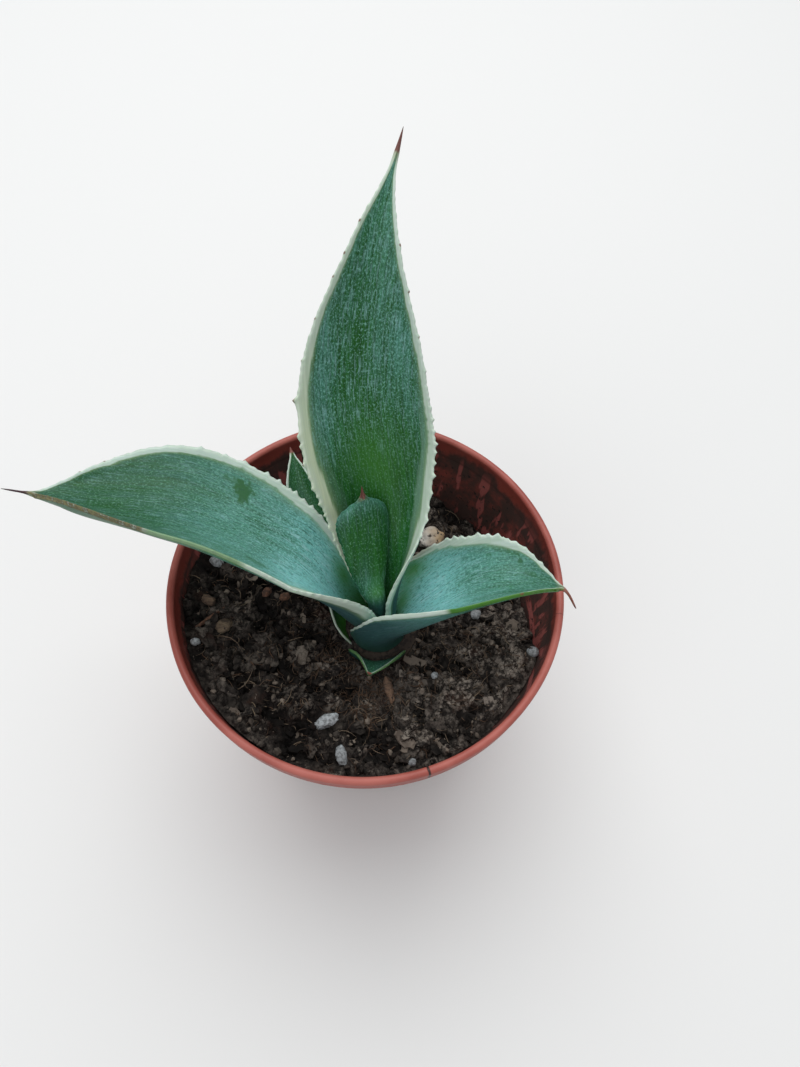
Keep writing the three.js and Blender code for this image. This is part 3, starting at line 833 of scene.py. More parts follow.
# %% Fibres
bpy.ops.mesh.primitive_cylinder_add(vertices=4, radius=MM, depth=2 * MM, end_fill_type="TRIFAN")
fibre = named("fibre")
cut_across(fibre, (0, 0, 1), (0, 0, 1), (-0.6, -0.2, 0.2, 0.6))
fibre_points, fibre_faces = pattern_of(fibre)
fibre_points = fibre_points[:, [2, 0, 1]]
fibre_points[:, 1:] *= (1 - 0.7 * np.abs(fibre_points[:, 0:1]) ** 2.5)


def fibre_shape(length, thick, bow, wave):
    """A fibre's points: half length, radius, and how far it is bowed and waved, as shares."""
    shape = fibre_points * (length, thick, thick)
    x = fibre_points[:, 0]
    shape[:, 1] += length * (bow * (x**2 - 0.4) + wave * np.sin(3.1 * x))
    shape[:, 2] -= length * 0.18 * x**2
    return shape


def any_fibre(long, bow, wave):
    """A fibre of the given half length, with a random thickness and bend."""
    return fibre_shape(long, rng.uniform(0.04, 0.11), rng.uniform(-bow, bow), rng.uniform(-wave, wave))


fibres = []
for _ in range(FIBRE_COUNT):
    x, y = peat_spot(rng, OFF_WALL)
    shape = any_fibre(0.5 + 2.4 * rng.random() ** 2, 0.7, 0.25)
    fibres.append((shape, on_peat(x, y, 0.22), turned(rng, 0.5, 0.5), rng.random() ** 1.2))
CLUMPS = [  # middle, spread, number of fibres, shade
    ((-5, -15), 4.0, 210, 0.6), ((2, -22), 3.5, 210, 0.6), ((-14, -13), 6.0, 190, 0.45),
    ((18, -12), 6.0, 160, 0.75),
]
for (cx, cy), spread, count, shade in CLUMPS:
    for _ in range(count):
        x, y = rng.gauss(cx, spread), rng.gauss(cy, spread)
        if math.hypot(x - STEM_FOOT[0], y - STEM_FOOT[1]) < NECK_EDGE + 0.4:
            continue
        shape = any_fibre(rng.uniform(0.6, 2.2), 0.9, 0.3)
        middle = on_peat(x, y, rng.uniform(0.2, 0.9))
        fibres.append((shape, middle, turned(rng, 0.8, 0.6), min(1, max(0, rng.gauss(shade, 0.12)))))
STRAWS = [  # middle, turn about Z, half length, bow, shade
    ((-29.6, -12.0), -0.35, 4.4, -0.35, 0.75), ((-24.5, -21), 0.9, 3.0, 0.4, 0.85),
    ((24, -21), 0.6, 3.4, 0.3, 0.9), ((20, 30), 2.4, 3.6, 0.35, 0.88),
    ((-12, -33), 0.2, 2.6, -0.4, 0.9), ((31, 8), 1.6, 2.8, 0.3, 0.8),
]
for (x, y), turn, length, bow, shade in STRAWS:
    lying = np.array(Matrix.Rotation(turn, 3, "Z"))
    fibres.append((fibre_shape(length, 0.11, bow, 0.05), on_peat(x, y, 0.9), lying, shade))
peat_fibres = scatter("peat_fibres", fibre_faces, fibres)

# %% [markdown]
# Crumbs and flakes take the browns of the bed, each a little lighter or darker by the shade on
# its points, and those with the highest shade get a pale painted highlight. Fibres have a scale
# of their own, from black through rust to straw.

# %% Finish: loose crumbs, flakes and fibres
crumb_finish, shader = new_finish("peat_crumb", Roughness=0.95, Specular_IOR_Level=0.2)
shade = kept(shader, "shade", "Fac")
browns = use_group(peat_browns, {
    "Place": object_place(shader), "Shade": shade, "Rise": kept(shader, "rise", "Fac")})
# Painted highlight: the copies with the highest shade are made pale, as sunlit specks.
painted_lit_crumbs = blend(ease(shade, 0.84, 1.0, 0, 0.85), browns["Colour"], (0.22, 0.18, 0.145))
feed(shader, Base_Color=painted_lit_crumbs, Normal=bump(browns["Height"], 0.6, 0.0003))
fibre_finish, shader = new_finish("peat_fibre", Roughness=0.85, Specular_IOR_Level=0.25)
shade = kept(shader, "shade", "Fac")
straw = extend("ShaderNodeValToRGB", {"Fac": shade}, "Color")
ramp = straw.socket.node.color_ramp
ramp.elements[0].color = (0.012, 0.008, 0.006, 1)
ramp.elements[1].color = (0.24, 0.18, 0.12, 1)
for spot, colour in ((0.45, (0.04, 0.027, 0.02)), (0.62, (0.11, 0.06, 0.035)), (0.8, (0.19, 0.14, 0.10))):
    ramp.elements.new(spot).color = (*colour, 1)
grain = speckle(object_place(shader), 1800, 3, 0.6)
dusty_straw = blend(ease(grain, 0.3, 0.7, 0, 0.5), straw, (0.02, 0.014, 0.01))
feed(shader, Base_Color=dusty_straw)
for piece, finish in ((peat_crumbs, crumb_finish), (peat_flakes, crumb_finish), (peat_fibres, fibre_finish)):
    settle(piece, None, "peat", finish)

# %% [markdown]
# ## The leaves
#
# Every leaf clasps the younger ones with its sheath, rises, and opens into a channelled blade
# that ends in a spine. The same few numbers as in the solid model say where its rib runs, which
# way its face looks, how wide it is and how far it is curled. A smooth curve through them
# gives the values in between.

# %% The leaves in numbers, in millimetres and degrees
LEAVES = {
    "leaf_centre": {
        "side": -97, "ring": 1.9, "foot": 62, "clasp": 158, "body": 1.1,
        "midrib": [(0.2, (2.8, -6.2, 74)), (0.5, (1.4, -2.5, 79)), (0.8, (-0.1, 6, 89.5)),
            (1, (-1, 9.7, 97))],
        "face": [(0.4, (-0.37, 0.93, -0.1)), (1, (-0.5, 0.72, -0.45))],
        "width": [(0.2, 2.9), (0.45, 3.1), (0.65, 5.1), (0.82, 6), (0.93, 1), (1, 0.35)],
        "curl": [(0.25, 104), (0.5, 28), (1, 52)],
    },
    "leaf_upright": {
        "side": 29, "ring": 3.2, "foot": 61.6, "clasp": 45, "body": 2,
        "midrib": [(0.1, (5.2, -2.4, 71)), (0.3, (2.2, 11, 87)), (0.55, (-1.6, 24.5, 108)),
            (0.8, (0.2, 39, 130)), (1, (4.6, 54, 142.5))],
        "face": [(0.3, (-0.09, -0.39, 0.92)), (1, (0.3, -0.73, 0.61))],
        "width": [(0.1, 6.3), (0.2, 9.8), (0.32, 11.9), (0.45, 13.9), (0.62, 11.9), (0.8, 5), (0.92, 1),
            (1, 0.35)],
        "curl": [(0.12, 109), (0.3, 47), (1, 41)],
    },
    "leaf_left": {
        "side": -172, "ring": 4.5, "foot": 61.2, "clasp": 90, "body": 2,
        "midrib": [(0.12, (-5, -6, 71.6)), (0.3, (-15.2, -1, 83.7)), (0.55, (-35, 4.5, 92)),
            (0.8, (-54.2, 4.7, 95)), (1, (-70.3, 5.8, 97))],
        "face": [(0.12, (0.74, 0.5, 0.45)), (0.3, (0.97, 0.02, 0.23)), (1, (0.13, 0.57, 0.81))],
        "width": [(0.12, 9.3), (0.28, 13.1), (0.45, 16.2), (0.62, 14.9), (0.8, 9.6), (0.92, 1), (1, 0.35)],
        "curl": [(0.14, 92), (0.3, 47), (1, 62)],
    },
    "leaf_right": {
        "side": -66, "ring": 6, "foot": 60.8, "clasp": 100, "body": 1.8,
        "midrib": [(0.2, (7.7, -8.9, 68.8)), (0.42, (20.7, -3.3, 78.4)), (0.7, (30.7, -2.5, 83)),
            (0.89, (39.9, -3.2, 81.4)), (0.94, (41.6, -4.2, 80.9)), (1, (43.5, -6.7, 79))],
        "face": [(0.4, (-0.78, 0.25, 0.58)), (0.89, (0.21, 0.26, 0.94)), (1, (0.6, 0.3, 0.9))],
        "width": [(0.15, 10.1), (0.3, 14.5), (0.5, 10.9), (0.7, 8), (0.83, 3.1), (0.9, 0.7), (1, 0.35)],
        "curl": [(0.2, 87), (0.4, 57), (1, 60)],
    },
    "leaf_back": {
        "side": 135, "ring": 7.4, "foot": 60.4, "clasp": 86, "body": 1.4,
        "midrib": [(0.2, (-4.6, 3.6, 65.5)), (0.55, (-14.5, 18.5, 71.5)), (1, (-19.4, 32.4, 76))],
        "face": [(0.2, (0.6, -0.6, 0.4)), (0.45, (0.3, -0.45, 0.84)), (1, (0.3, -0.41, 0.86))],
        "width": [(0.1, 10.2), (0.28, 7.2), (0.5, 5.4), (0.8, 2.6), (0.93, 0.8), (1, 0.35)],
        "curl": [(0.1, 54), (0.3, 50), (1, 52)],
    },
    "leaf_front": {
        "side": -89, "ring": 8.7, "foot": 60, "clasp": 49, "body": 0.8,
        "midrib": [(0.4, (2.5, -14, 61.7)), (0.7, (2, -15.4, 62.8)), (1, (1.3, -17.3, 63.5))],
        "face": [(0.4, (0.1, 0.93, 0.34)), (0.7, (0.17, 0.72, 0.67)), (1, (0.2, 0.5, 0.84))],
        "width": [(0.4, 5.4), (0.6, 3.9), (0.8, 2.2), (1, 0.35)], "curl": [(0.3, 44), (0.6, 48), (1, 52)],
    },
}
SKIN = 0.3


# %% A smooth curve through a few values
def through(pairs, at, first_slope=None):
    """Reads a curve through (share, value) pairs at every share in at."""
    shares = np.array([share for share, _ in pairs], float)
    values = np.array([np.atleast_1d(value) for _, value in pairs], float)
    last = len(pairs) - 1
    before = np.maximum(np.arange(last + 1) - 1, 0)
    after = np.minimum(np.arange(last + 1) + 1, last)
    slopes = (values[after] - values[before]) / (shares[after] - shares[before])[:, None]
    if first_slope is not None:
        slopes[0] = first_slope
    at = np.clip(at, shares[0], shares[-1])
    k = np.clip(np.searchsorted(shares, at, side="left") - 1, 0, last - 1)
    span = (shares[k + 1] - shares[k])[:, None]
    u = (at - shares[k])[:, None] / span
    curve = ((2 * u**3 - 3 * u**2 + 1) * values[k] + (u**3 - 2 * u**2 + u) * span * slopes[k]
             + (3 * u**2 - 2 * u**3) * values[k + 1] + (u**3 - u**2) * span * slopes[k + 1])
    return curve if curve.shape[1] > 1 else curve[:, 0]


def unit(rows):
    return rows / np.linalg.norm(rows, axis=1)[:, None]


# %% Where a leaf's rib runs and how its blade stands on it
def rib_of(leaf):
    bearing = math.radians(leaf["side"])
    outward = np.array([math.cos(bearing), math.sin(bearing), 0])
    lean = leaf["foot"] - 60
    foot = leaf["ring"] * outward + (STEM_FOOT[0] + 0.09 * lean, STEM_FOOT[1] - 0.03 * lean, leaf["foot"])
    first_share, first_point = leaf["midrib"][0]
    return [(0, foot), *leaf["midrib"]], (0, 0, (first_point[2] - leaf["foot"]) / first_share), outward


def stations(leaf, t):
    """Middle of the rib, the three directions of the blade, half width and half arc at each t."""
    rib, rise, outward = rib_of(leaf)
    along = unit(through(rib, np.minimum(t + 1e-4, 1), rise) - through(rib, np.maximum(t - 1e-4, 0), rise))
    looks = [(0, -outward)] + [(share, np.array(way) / np.linalg.norm(way)) for share, way in leaf["face"]]
    across = unit(np.cross(along, unit(through(looks, t))))
    clasp = math.radians(leaf["clasp"])
    half = through([(0, leaf["ring"] * clasp), *leaf["width"]], t)
    curl = np.radians(through([(0, leaf["clasp"]), *leaf["curl"]], t))
    return through(rib, t, rise), along, across, np.cross(across, along), half, curl


# %% [markdown]
# A blade begins as a flat grid. Its columns become places across the blade and its rows places
# along it. The rows are a fifth of a millimetre apart, so that the small teeth on the margins
# can be part of the outline: there the last columns are drawn out. Separate little cones would
# be quicker, but a real tooth grows out of the margin and shares its skin.
#
# The teeth are not even. Each has its place along the margin, its height, and how brown its
# point is; a low brown one is only a dot on the margin.

# %% The teeth on each margin: share of the length, height in mm, brownness
TEETH = {
    "leaf_centre": {
        1: [(0.93, 0.15, 0.1), (0.889, 0.3, 0.1), (0.859, 0.35, 0.1), (0.8, 0.15, 0)],
        -1: [(0.86, 0.15, 0.1), (0.8, 0.12, 0)],
    },
    "leaf_upright": {
        -1: [(0.22, 0.35, 0), (0.25, 0.45, 0), (0.28, 0.45, 0), (0.312, 0.5, 0), (0.344, 0.6, 0.1),
            (0.362, 0.35, 0), (0.384, 0.6, 0.2), (0.41, 0.35, 0), (0.438, 0.55, 0.9), (0.473, 0.45, 0.3),
            (0.491, 0.6, 0.5), (0.548, 1.05, 1), (0.613, 0.35, 0.7), (0.68, 0.25, 0.8),
            (0.745, 0.25, 0.8), (0.782, 0.22, 0.9), (0.833, 0.2, 0.9)],
        1: [(0.22, 0.35, 0), (0.25, 0.4, 0), (0.28, 0.6, 0), (0.305, 0.4, 0), (0.332, 0.6, 0.1),
            (0.365, 0.7, 0.1), (0.39, 0.4, 0), (0.412, 0.55, 0.1), (0.43, 0.65, 0.4), (0.458, 0.4, 0),
            (0.487, 0.35, 0), (0.516, 0.3, 0.3), (0.597, 0.25, 0.6), (0.662, 0.25, 0.8),
            (0.736, 0.22, 0.9), (0.809, 0.2, 0.9)],
    },
    "leaf_left": {
        1: [(0.235, 0.3, 0), (0.26, 0.4, 0), (0.285, 0.45, 0), (0.31, 0.55, 0), (0.334, 0.55, 0),
            (0.358, 0.6, 0.1), (0.372, 0.35, 0), (0.4, 0.6, 0), (0.43, 0.5, 0), (0.48, 0.5, 0.2),
            (0.52, 0.3, 0), (0.566, 0.35, 0.1), (0.63, 0.2, 0), (0.7, 0.15, 0.2), (0.785, 0.2, 0.9),
            (0.84, 0.18, 0.7)],
        -1: [(0.2, 0.2, 0), (0.215, 0.25, 0), (0.232, 0.3, 0), (0.251, 0.5, 0.2), (0.264, 0.75, 0.3),
            (0.278, 0.35, 0), (0.291, 0.4, 0.1), (0.305, 0.3, 0), (0.318, 0.3, 0), (0.345, 0.25, 0),
            (0.39, 0.2, 0.2), (0.46, 0.15, 0.3), (0.55, 0.15, 0.3)],
    },
    "leaf_right": {
        -1: [(0.38, 0.3, 0.2), (0.414, 0.5, 0.1), (0.44, 0.55, 0), (0.465, 0.5, 0), (0.49, 0.35, 0),
            (0.528, 0.85, 0.1), (0.55, 0.35, 0), (0.572, 0.5, 0), (0.614, 0.85, 0.1), (0.64, 0.35, 0),
            (0.664, 0.5, 0), (0.7, 0.45, 0.1), (0.734, 0.4, 0.1), (0.765, 0.3, 0), (0.8, 0.25, 0.3)],
        1: [(0.42, 0.15, 0), (0.48, 0.18, 0), (0.56, 0.15, 0), (0.63, 0.15, 0.3), (0.714, 0.3, 0.9)],
    },
    "leaf_back": {
        -1: [(0.5, 0.15, 0), (0.62, 0.2, 0), (0.75, 0.2, 0.1)],
        1: [(0.45, 0.3, 0), (0.56, 0.4, 0), (0.66, 0.35, 0), (0.75, 0.35, 0), (0.83, 0.25, 0.1)],
    },
    "leaf_front": {
        -1: [(0.6, 0.2, 0), (0.72, 0.25, 0.2)],
        1: [(0.55, 0.2, 0), (0.7, 0.25, 0.2)],
    },
}
print("teeth in all:", sum(len(margin) for leaf in TEETH.values() for margin in leaf.values()))


# %% Draw the teeth out of the margin
def tooth_run(name, mm_along, side):
    """How far the margin is drawn out at each point, and how brown it is there."""
    out = np.zeros(len(side))
    brown = np.zeros(len(side))
    place = np.interp(side[:, 1], *zip(*mm_along))
    for edge, margin in TEETH[name].items():
        here = side[:, 0] * edge > 0
        for share, tall, brownness in margin:
            middle = np.interp(share, *zip(*mm_along))
            foot, hook = 0.45 + 0.6 * tall, 0.3
            away = (place - middle) / foot
            away = np.where(away > hook, (away - hook) / (1 - hook), (hook - away) / (1 + hook))
            point = np.clip(1 - away, 0, 1) ** 1.4
            swell = np.exp(-(((place - middle) / (1.3 + tall)) ** 2))
            rise = tall * (point + 0.2 * swell)
            out = np.where(here, np.maximum(out, rise), out)
            reach = point if tall > 0.3 else np.exp(-(((place - middle) / 0.35) ** 2))
            brown = np.where(here, np.maximum(brown, brownness * reach), brown)
    return out, brown


# %% [markdown]
# The grid is laid on the curled surface of the leaf. Towards the tip the blade narrows to the
# spine, which is a round, hard point: there the channel closes and the section turns from a
# thin crescent into a disc. Solidify then gives the blade its flesh, thick along the middle
# and thin at the margins. Its thickness comes from a vertex group, because a leaf, unlike a
# sheet, has no one thickness.

# %% Model one leaf
COLUMNS = 46
ROW = 0.21
SPINE_START = {"leaf_centre": 0.935, "leaf_upright": 0.955, "leaf_left": 0.935, "leaf_right": 0.905,
               "leaf_back": 0.95, "leaf_front": 0.95}
SPINE_TAPER = {"leaf_right": 0.4}


def length_table(leaf):
    """Pairs of share and millimetres along the rib."""
    fine = np.linspace(0, 1, 400)
    rib, rise, _ = rib_of(leaf)
    steps = np.linalg.norm(np.diff(through(rib, fine, rise), axis=0), axis=1)
    return list(zip(fine, np.concatenate([[0], np.cumsum(steps)])))


def model_leaf(name, leaf, seed):
    mm_along = length_table(leaf)
    rows = int(mm_along[-1][1] / ROW)
    bpy.ops.mesh.primitive_grid_add(x_subdivisions=COLUMNS, y_subdivisions=rows, size=2)
    piece = named(name + "_blade")
    flat = points_of(piece) * MM
    s = 0.5 * flat[:, 0] + 0.5 * np.sin(flat[:, 0] * math.pi / 2)
    t = np.clip((flat[:, 1] + 1) / 2, 0, 1)
    middle, along, across, up, half, curl = stations(leaf, t)
    place = np.interp(t, *zip(*mm_along))

    start = SPINE_START[name]
    spine = mix_range(t, start - 0.03, start + 0.015)
    half = half * (0.1 + 0.9 * np.clip((1 - t) / (1 - start), 0, 1) ** SPINE_TAPER.get(name, 0.75))
    curl = curl * (1 - spine) + 0.25 * spine
    drawn, tooth = tooth_run(name, mm_along, np.column_stack([s, t]))
    uneven = 0.1 * np.sin(place * 1.9 + seed) * np.sin(place * 0.73) + 0.05 * np.sin(place * 4.7 + 2 * seed)
    drawn += uneven * mix_range(half, 0.5, 2)
    from_edge = (1 - np.abs(s)) * half
    arc = s * half + np.sign(s) * drawn * mix_range(np.abs(s), 0.84, 1) * (1 - spine)

    skin = SKIN * np.clip((1.12 - t) / 0.2, 0.5, 1)
    body = leaf["body"]
    flesh = through([(0, 0.9), (0.15, 1), (0.4, body), (0.8, 0.7 * body), (0.94, 0.9), (1, 0.4)], t)
    rounding = np.sqrt(1 - (1 - np.clip(from_edge / 0.6, 0, 1)) ** 2) * 0.88 + 0.12
    thick = 2 * skin * rounding + (np.maximum(flesh, 2 * skin) - 2 * skin) * (1 - s * s)
    ripple = np.array([noise.noise(Vector((a / 4, p / 24, seed))) for a, p in zip(arc, place)])
    lift = skin * rounding + ripple * 0.3 * mix_range(from_edge, 0.3, 3)
    round_rod = half * np.sqrt(np.maximum(1 - s * s, 0.02))
    lift = lift * (1 - spine) + round_rod * spine
    thick = thick * (1 - spine) + 2 * round_rod * spine

    radius = half / curl
    turn = arc / radius
    outward = (radius - lift) * np.sin(turn)
    upward = radius - (radius - lift) * np.cos(turn)
    set_points(piece, middle + across * outward[:, None] + up * upward[:, None])
    flesh_group = piece.vertex_groups.new(name="flesh")
    most = float(thick.max())
    for index, share in enumerate(thick / most):
        flesh_group.add([index], float(share), "REPLACE")
    return piece, most, {"s": s, "t": t, "half": half, "across": arc, "along": place, "edge": from_edge,
                         "tooth": tooth, "table": mm_along}


lengths = {name: round(float(length_table(leaf)[-1][1]), 1) for name, leaf in LEAVES.items()}
print("leaf lengths, mm:", lengths)

# %% [markdown]
# No two leaves are finished alike. The cream margin has its own width on each side, the bloom
# is thick on one leaf and thin on the next, and it is rubbed off in spots where the leaf was
# touched. The marks below are read off the real plant. "bloom" and "streak" are curves along
# the leaf, and "cream" is the width of each margin in millimetres. A spot has its place across
# (-1 to 1) and along (0 to 1), its reach in millimetres across and along, and its strength. A
# rub takes the bloom away with a sharp edge, and a lime spot is bare, bright green. "stripe" is
# the half-tone beside the cream, "yellow" how yellow the cream is and "warm" how brown the
# spine. "dry" and "fresh" are parched and green parts of a margin: side, start, end, strength.

# %% Marks on each leaf
UNMARKED = {"spots": [], "rubs": [], "lime": [], "dry": [], "fresh": []}
MARKS = {
    "leaf_centre": {
        "cream": {-1: [(0, 0.04), (1, 0.04)], 1: [(0, 0.04), (1, 0.04)]},
        "bloom": [(0, 0.5), (0.5, 0.5), (0.58, 0.15), (0.68, 0.03), (0.78, 0.08), (0.88, 0.42), (1, 0.3)],
        "streak": [(0, 0.7), (0.5, 0.65), (0.6, 0.15), (0.72, 0.15), (0.86, 0.6), (1, 0.6)],
        "spots": [(0.25, 0.58, 1.4, 2.5, 0.5), (1, 0.82, 1.1, 5, 0.7), (-1, 0.8, 1.1, 6, 0.7)],
        "lime": [(-0.3, 0.4, 1.5, 4, 0.6)], "stripe": {-1: 0.1, 1: 0.3}, "yellow": 0.2, "warm": 0.6,
    },
    "leaf_upright": {
        "cream": {-1: [(0, 1.5), (0.2, 2.4), (0.35, 2.9), (0.5, 2.5), (0.62, 1.8), (0.8, 0.9),
            (0.95, 0.4), (1, 0.3)], 1: [(0, 1.8), (0.25, 2.1), (0.45, 1.6), (0.6, 1.2), (0.8, 0.8),
            (0.95, 0.3), (1, 0.3)]},
        "bloom": [(0, 0), (0.3, 0.03), (0.42, 0.07), (0.52, 0.15), (0.7, 0.27), (0.85, 0.36), (1, 0.36)],
        "streak": [(0, 0.2), (0.35, 0.3), (0.47, 0.7), (0.65, 0.8), (0.8, 0.7), (1, 0.5)],
        "spots": [(-0.62, 0.53, 2.2, 8, 0.3), (0.55, 0.6, 2.5, 10, 0.15), (-0.15, 0.66, 3, 12, -0.15)],
        "lime": [(0.05, 0.4, 3.5, 7, 0.5)], "stripe": {-1: 0.35, 1: 1.0}, "yellow": 0.75, "warm": 0.5,
    },
    "leaf_left": {
        "cream": {1: [(0, 0.04), (0.13, 0.04), (0.19, 1.3), (0.26, 1.7), (0.45, 1.6), (0.7, 1.3),
            (0.88, 0.7), (1, 0.4)], -1: [(0, 2.6), (0.15, 4), (0.25, 4), (0.34, 2.4), (0.45, 1.4),
            (0.6, 1.2), (0.8, 0.8), (1, 0.4)]},
        "bloom": [(0, 0.7), (0.18, 1.1), (0.3, 0.85), (0.42, 0.62), (0.6, 0.46), (0.75, 0.4), (0.9, 0.4),
            (1, 0.4)],
        "streak": [(0, 0.7), (0.15, 1.0), (0.28, 0.95), (0.42, 0.7), (0.6, 0.45), (0.8, 0.32), (1, 0.3)],
        "spots": [(0.3, 0.29, 3, 7, -0.3), (-0.55, 0.26, 2, 6, 0.3), (-0.1, 0.5, 5, 5, 0.12),
            (0.1, 0.72, 4, 6, -0.08)],
        "rubs": [(0.65, 0.46, 1.8, 2.0, 1), (0.72, 0.487, 0.7, 2.2, 0.6), (0.52, 0.455, 0.9, 1.2, 0.9),
            (-0.52, 0.372, 0.9, 2.4, 0.55), (-0.8, 0.35, 0.7, 1.6, 0.4)],
        "lime": [(0.75, 0.16, 1.8, 3.5, 1)], "stripe": {-1: 0.25, 1: 0.45}, "yellow": 0.25, "warm": 0.0,
        "dry": [(-1, 0.62, 0.94, 1.0), (1, 0.17, 0.21, 0.5)], "fresh": [(-1, 0.4, 0.62, 0.7)],
    },
    "leaf_right": {
        "cream": {-1: [(0, 0.04), (0.27, 0.04), (0.34, 1.2), (0.5, 1.8), (0.65, 1.6), (0.8, 0.8),
            (0.92, 0.35), (1, 0.3)], 1: [(0, 0.12), (0.2, 0.6), (0.3, 1.9), (0.42, 1.7), (0.6, 1.0),
            (0.8, 0.6), (1, 0.3)]},
        "bloom": [(0, 0.3), (0.15, 0.8), (0.28, 1.15), (0.45, 0.9), (0.65, 0.62), (0.85, 0.55), (1, 0.4)],
        "streak": [(0, 0.6), (0.28, 1.0), (0.45, 0.8), (0.7, 0.62), (1, 0.45)],
        "spots": [(-0.2, 0.43, 2.5, 4, -0.3), (0.4, 0.62, 2.5, 4, -0.12)],
        "rubs": [(-0.6, 0.72, 0.9, 0.5, 0.8), (-0.72, 0.66, 0.35, 2.8, 0.7),
            (-0.3, 0.765, 0.6, 1.2, 0.5), (-0.6, 0.56, 0.5, 0.6, 0.4)],
        "lime": [(-0.85, 0.3, 2, 3.2, 1), (-0.6, 0.22, 1.8, 3, 0.9)], "stripe": {-1: 0.3, 1: 0.3},
        "yellow": 0.2, "warm": 1.0, "dry": [(-1, 0.31, 0.37, 0.5)], "fresh": [(1, 0.4, 0.93, 1.0)],
    },
    "leaf_back": {
        "cream": {-1: [(0, 0.4), (0.5, 0.55), (1, 0.3)], 1: [(0, 0.2), (0.6, 0.35), (1, 0.2)]},
        "bloom": [(0, 0.2), (0.6, 0.3), (1, 0.15)], "streak": [(0, 0.1), (1, 0.1)],
        "stripe": {-1: 0.2, 1: 0.3}, "yellow": 0.3, "warm": 0.8,
    },
    "leaf_front": {
        "cream": {-1: [(0, 0.35), (0.6, 0.5), (1, 0.2)], 1: [(0, 0.35), (0.6, 0.5), (1, 0.2)]},
        "bloom": [(0, 0.6), (1, 0.6)], "streak": [(0, 0.1), (1, 0.1)], "stripe": {-1: 1, 1: 1},
        "yellow": 0.0, "warm": 1.0, "fresh": [(-1, 0.02, 0.98, 0.85), (1, 0.02, 0.98, 0.85)],
    },
}


# %% Lay the marks on the points
def spot_share(run, spots):
    """Adds up soft spots, each with its place across and along, its reaches and its strength."""
    total = np.zeros(len(run["t"]))
    for s, share, reach_across, reach_along, strength in spots:
        side = (run["s"] - s) * run["half"] / reach_across
        on = (run["along"] - np.interp(share, *zip(*run["table"]))) / reach_along
        total += strength * np.exp(-(side**2 + on**2) / 2)
    return total


def edge_share(run, parts):
    """One along the named parts of a margin: its side, where it starts and ends, its strength."""
    most = np.zeros(len(run["t"]))
    for edge, start, end, strength in parts:
        here = mix_range(run["t"], start - 0.015, start + 0.015)
        here = here * mix_range(run["t"], end + 0.01, end - 0.01)
        most = np.maximum(most, strength * here * (run["s"] * edge > 0))
    return most


def mark_leaf(piece, name, run):
    marks, t, left = {**UNMARKED, **MARKS[name]}, run["t"], run["s"] < 0
    band = np.where(left, through(marks["cream"][-1], t), through(marks["cream"][1], t))
    stripe = np.where(left, marks["stripe"][-1], marks["stripe"][1]) * mix_range(t, 0.1, 0.3)
    stripe *= 1 - 0.7 * mix_range(t, 0.42, 0.58)
    edge_ratio = run["edge"] / np.maximum(band, 0.1) + 2 * mix_range(band, 0.1, 0.05)
    yellow = marks["yellow"] * np.where(left, 1, 0.35) * (1 - 0.6 * mix_range(t, 0.45, 0.7))
    horny = run["tooth"] * mix_range(run["edge"], 0.5, 0.05)
    beyond = np.clip((t - SPINE_START[name]) / (1 - SPINE_START[name]), -1, 1)
    wander = 1 + 0.8 * np.array([noise.noise(Vector((a / 0.9, p / 0.9, 5)))
                                 for a, p in zip(run["across"], run["along"])])
    rubs = np.zeros(len(t))
    for *spot, strength in marks["rubs"]:
        rubs += strength * mix_range(spot_share(run, [(*spot, 1)]) * wander, 0.5, 0.72)
    bloom = np.clip(through(marks["bloom"], t) + spot_share(run, marks["spots"]), 0, 1)
    lime = np.clip(spot_share(run, marks["lime"]) + 0.9 * mix_range(t, 0.16, 0.04), 0, 1)
    warm = np.full(len(t), marks["warm"])
    for kind, parts in {
        "leaf_place": [run["across"], run["along"], edge_ratio],
        "leaf_bloom": [bloom, through(marks["streak"], t), rubs],
        "leaf_margin": [stripe, edge_share(run, marks["dry"]), yellow],
        "leaf_end": [beyond, lime, horny],
        # Spine warmth, green edge, and the share of painted shade at the leaf's base.
        "leaf_tint_and_shade": [warm, edge_share(run, marks["fresh"]), mix_range(t, 0.42, 0.2)],
    }.items():
        store(piece, kind, np.column_stack(parts))


# %% [markdown]
# An agave's skin is green, but a wax bloom of pale blue-grey lies on it. The bloom is thicker
# in long streaks and finely stippled, and it goes where the leaf is touched. It could be a
# sheen or a coat on the shader, but from close by it is a pattern: so it is mixed as a colour,
# with noises that are drawn out along the leaf. The places come from the attributes, in
# millimetres across and along, so that each pattern follows the leaf as it bends.

# %% Group: wax bloom on green skin
waxy_skin, leaf_in = new_group(
    "waxy_leaf_skin", {"Place": None, "Bloom": None, "Bloom Share": 1.0},
    ["Colour", "Waxy", "Relief", "Veins", "Broad"])
lx, ly, _ = split(leaf_in["Place"])
tone_bloom, tone_streak, worn = split(leaf_in["Bloom"])
flat_place = flat_vector(lx, ly)


def leaf_noise(across, along, detail, rough):
    return speckle(stretch(flat_place, (across, along, 1)), 1, detail, rough)


def swing(fac, most):
    """A noise as a plus or minus of at most the given amount."""
    return (fac - 0.5) * (2 * most)


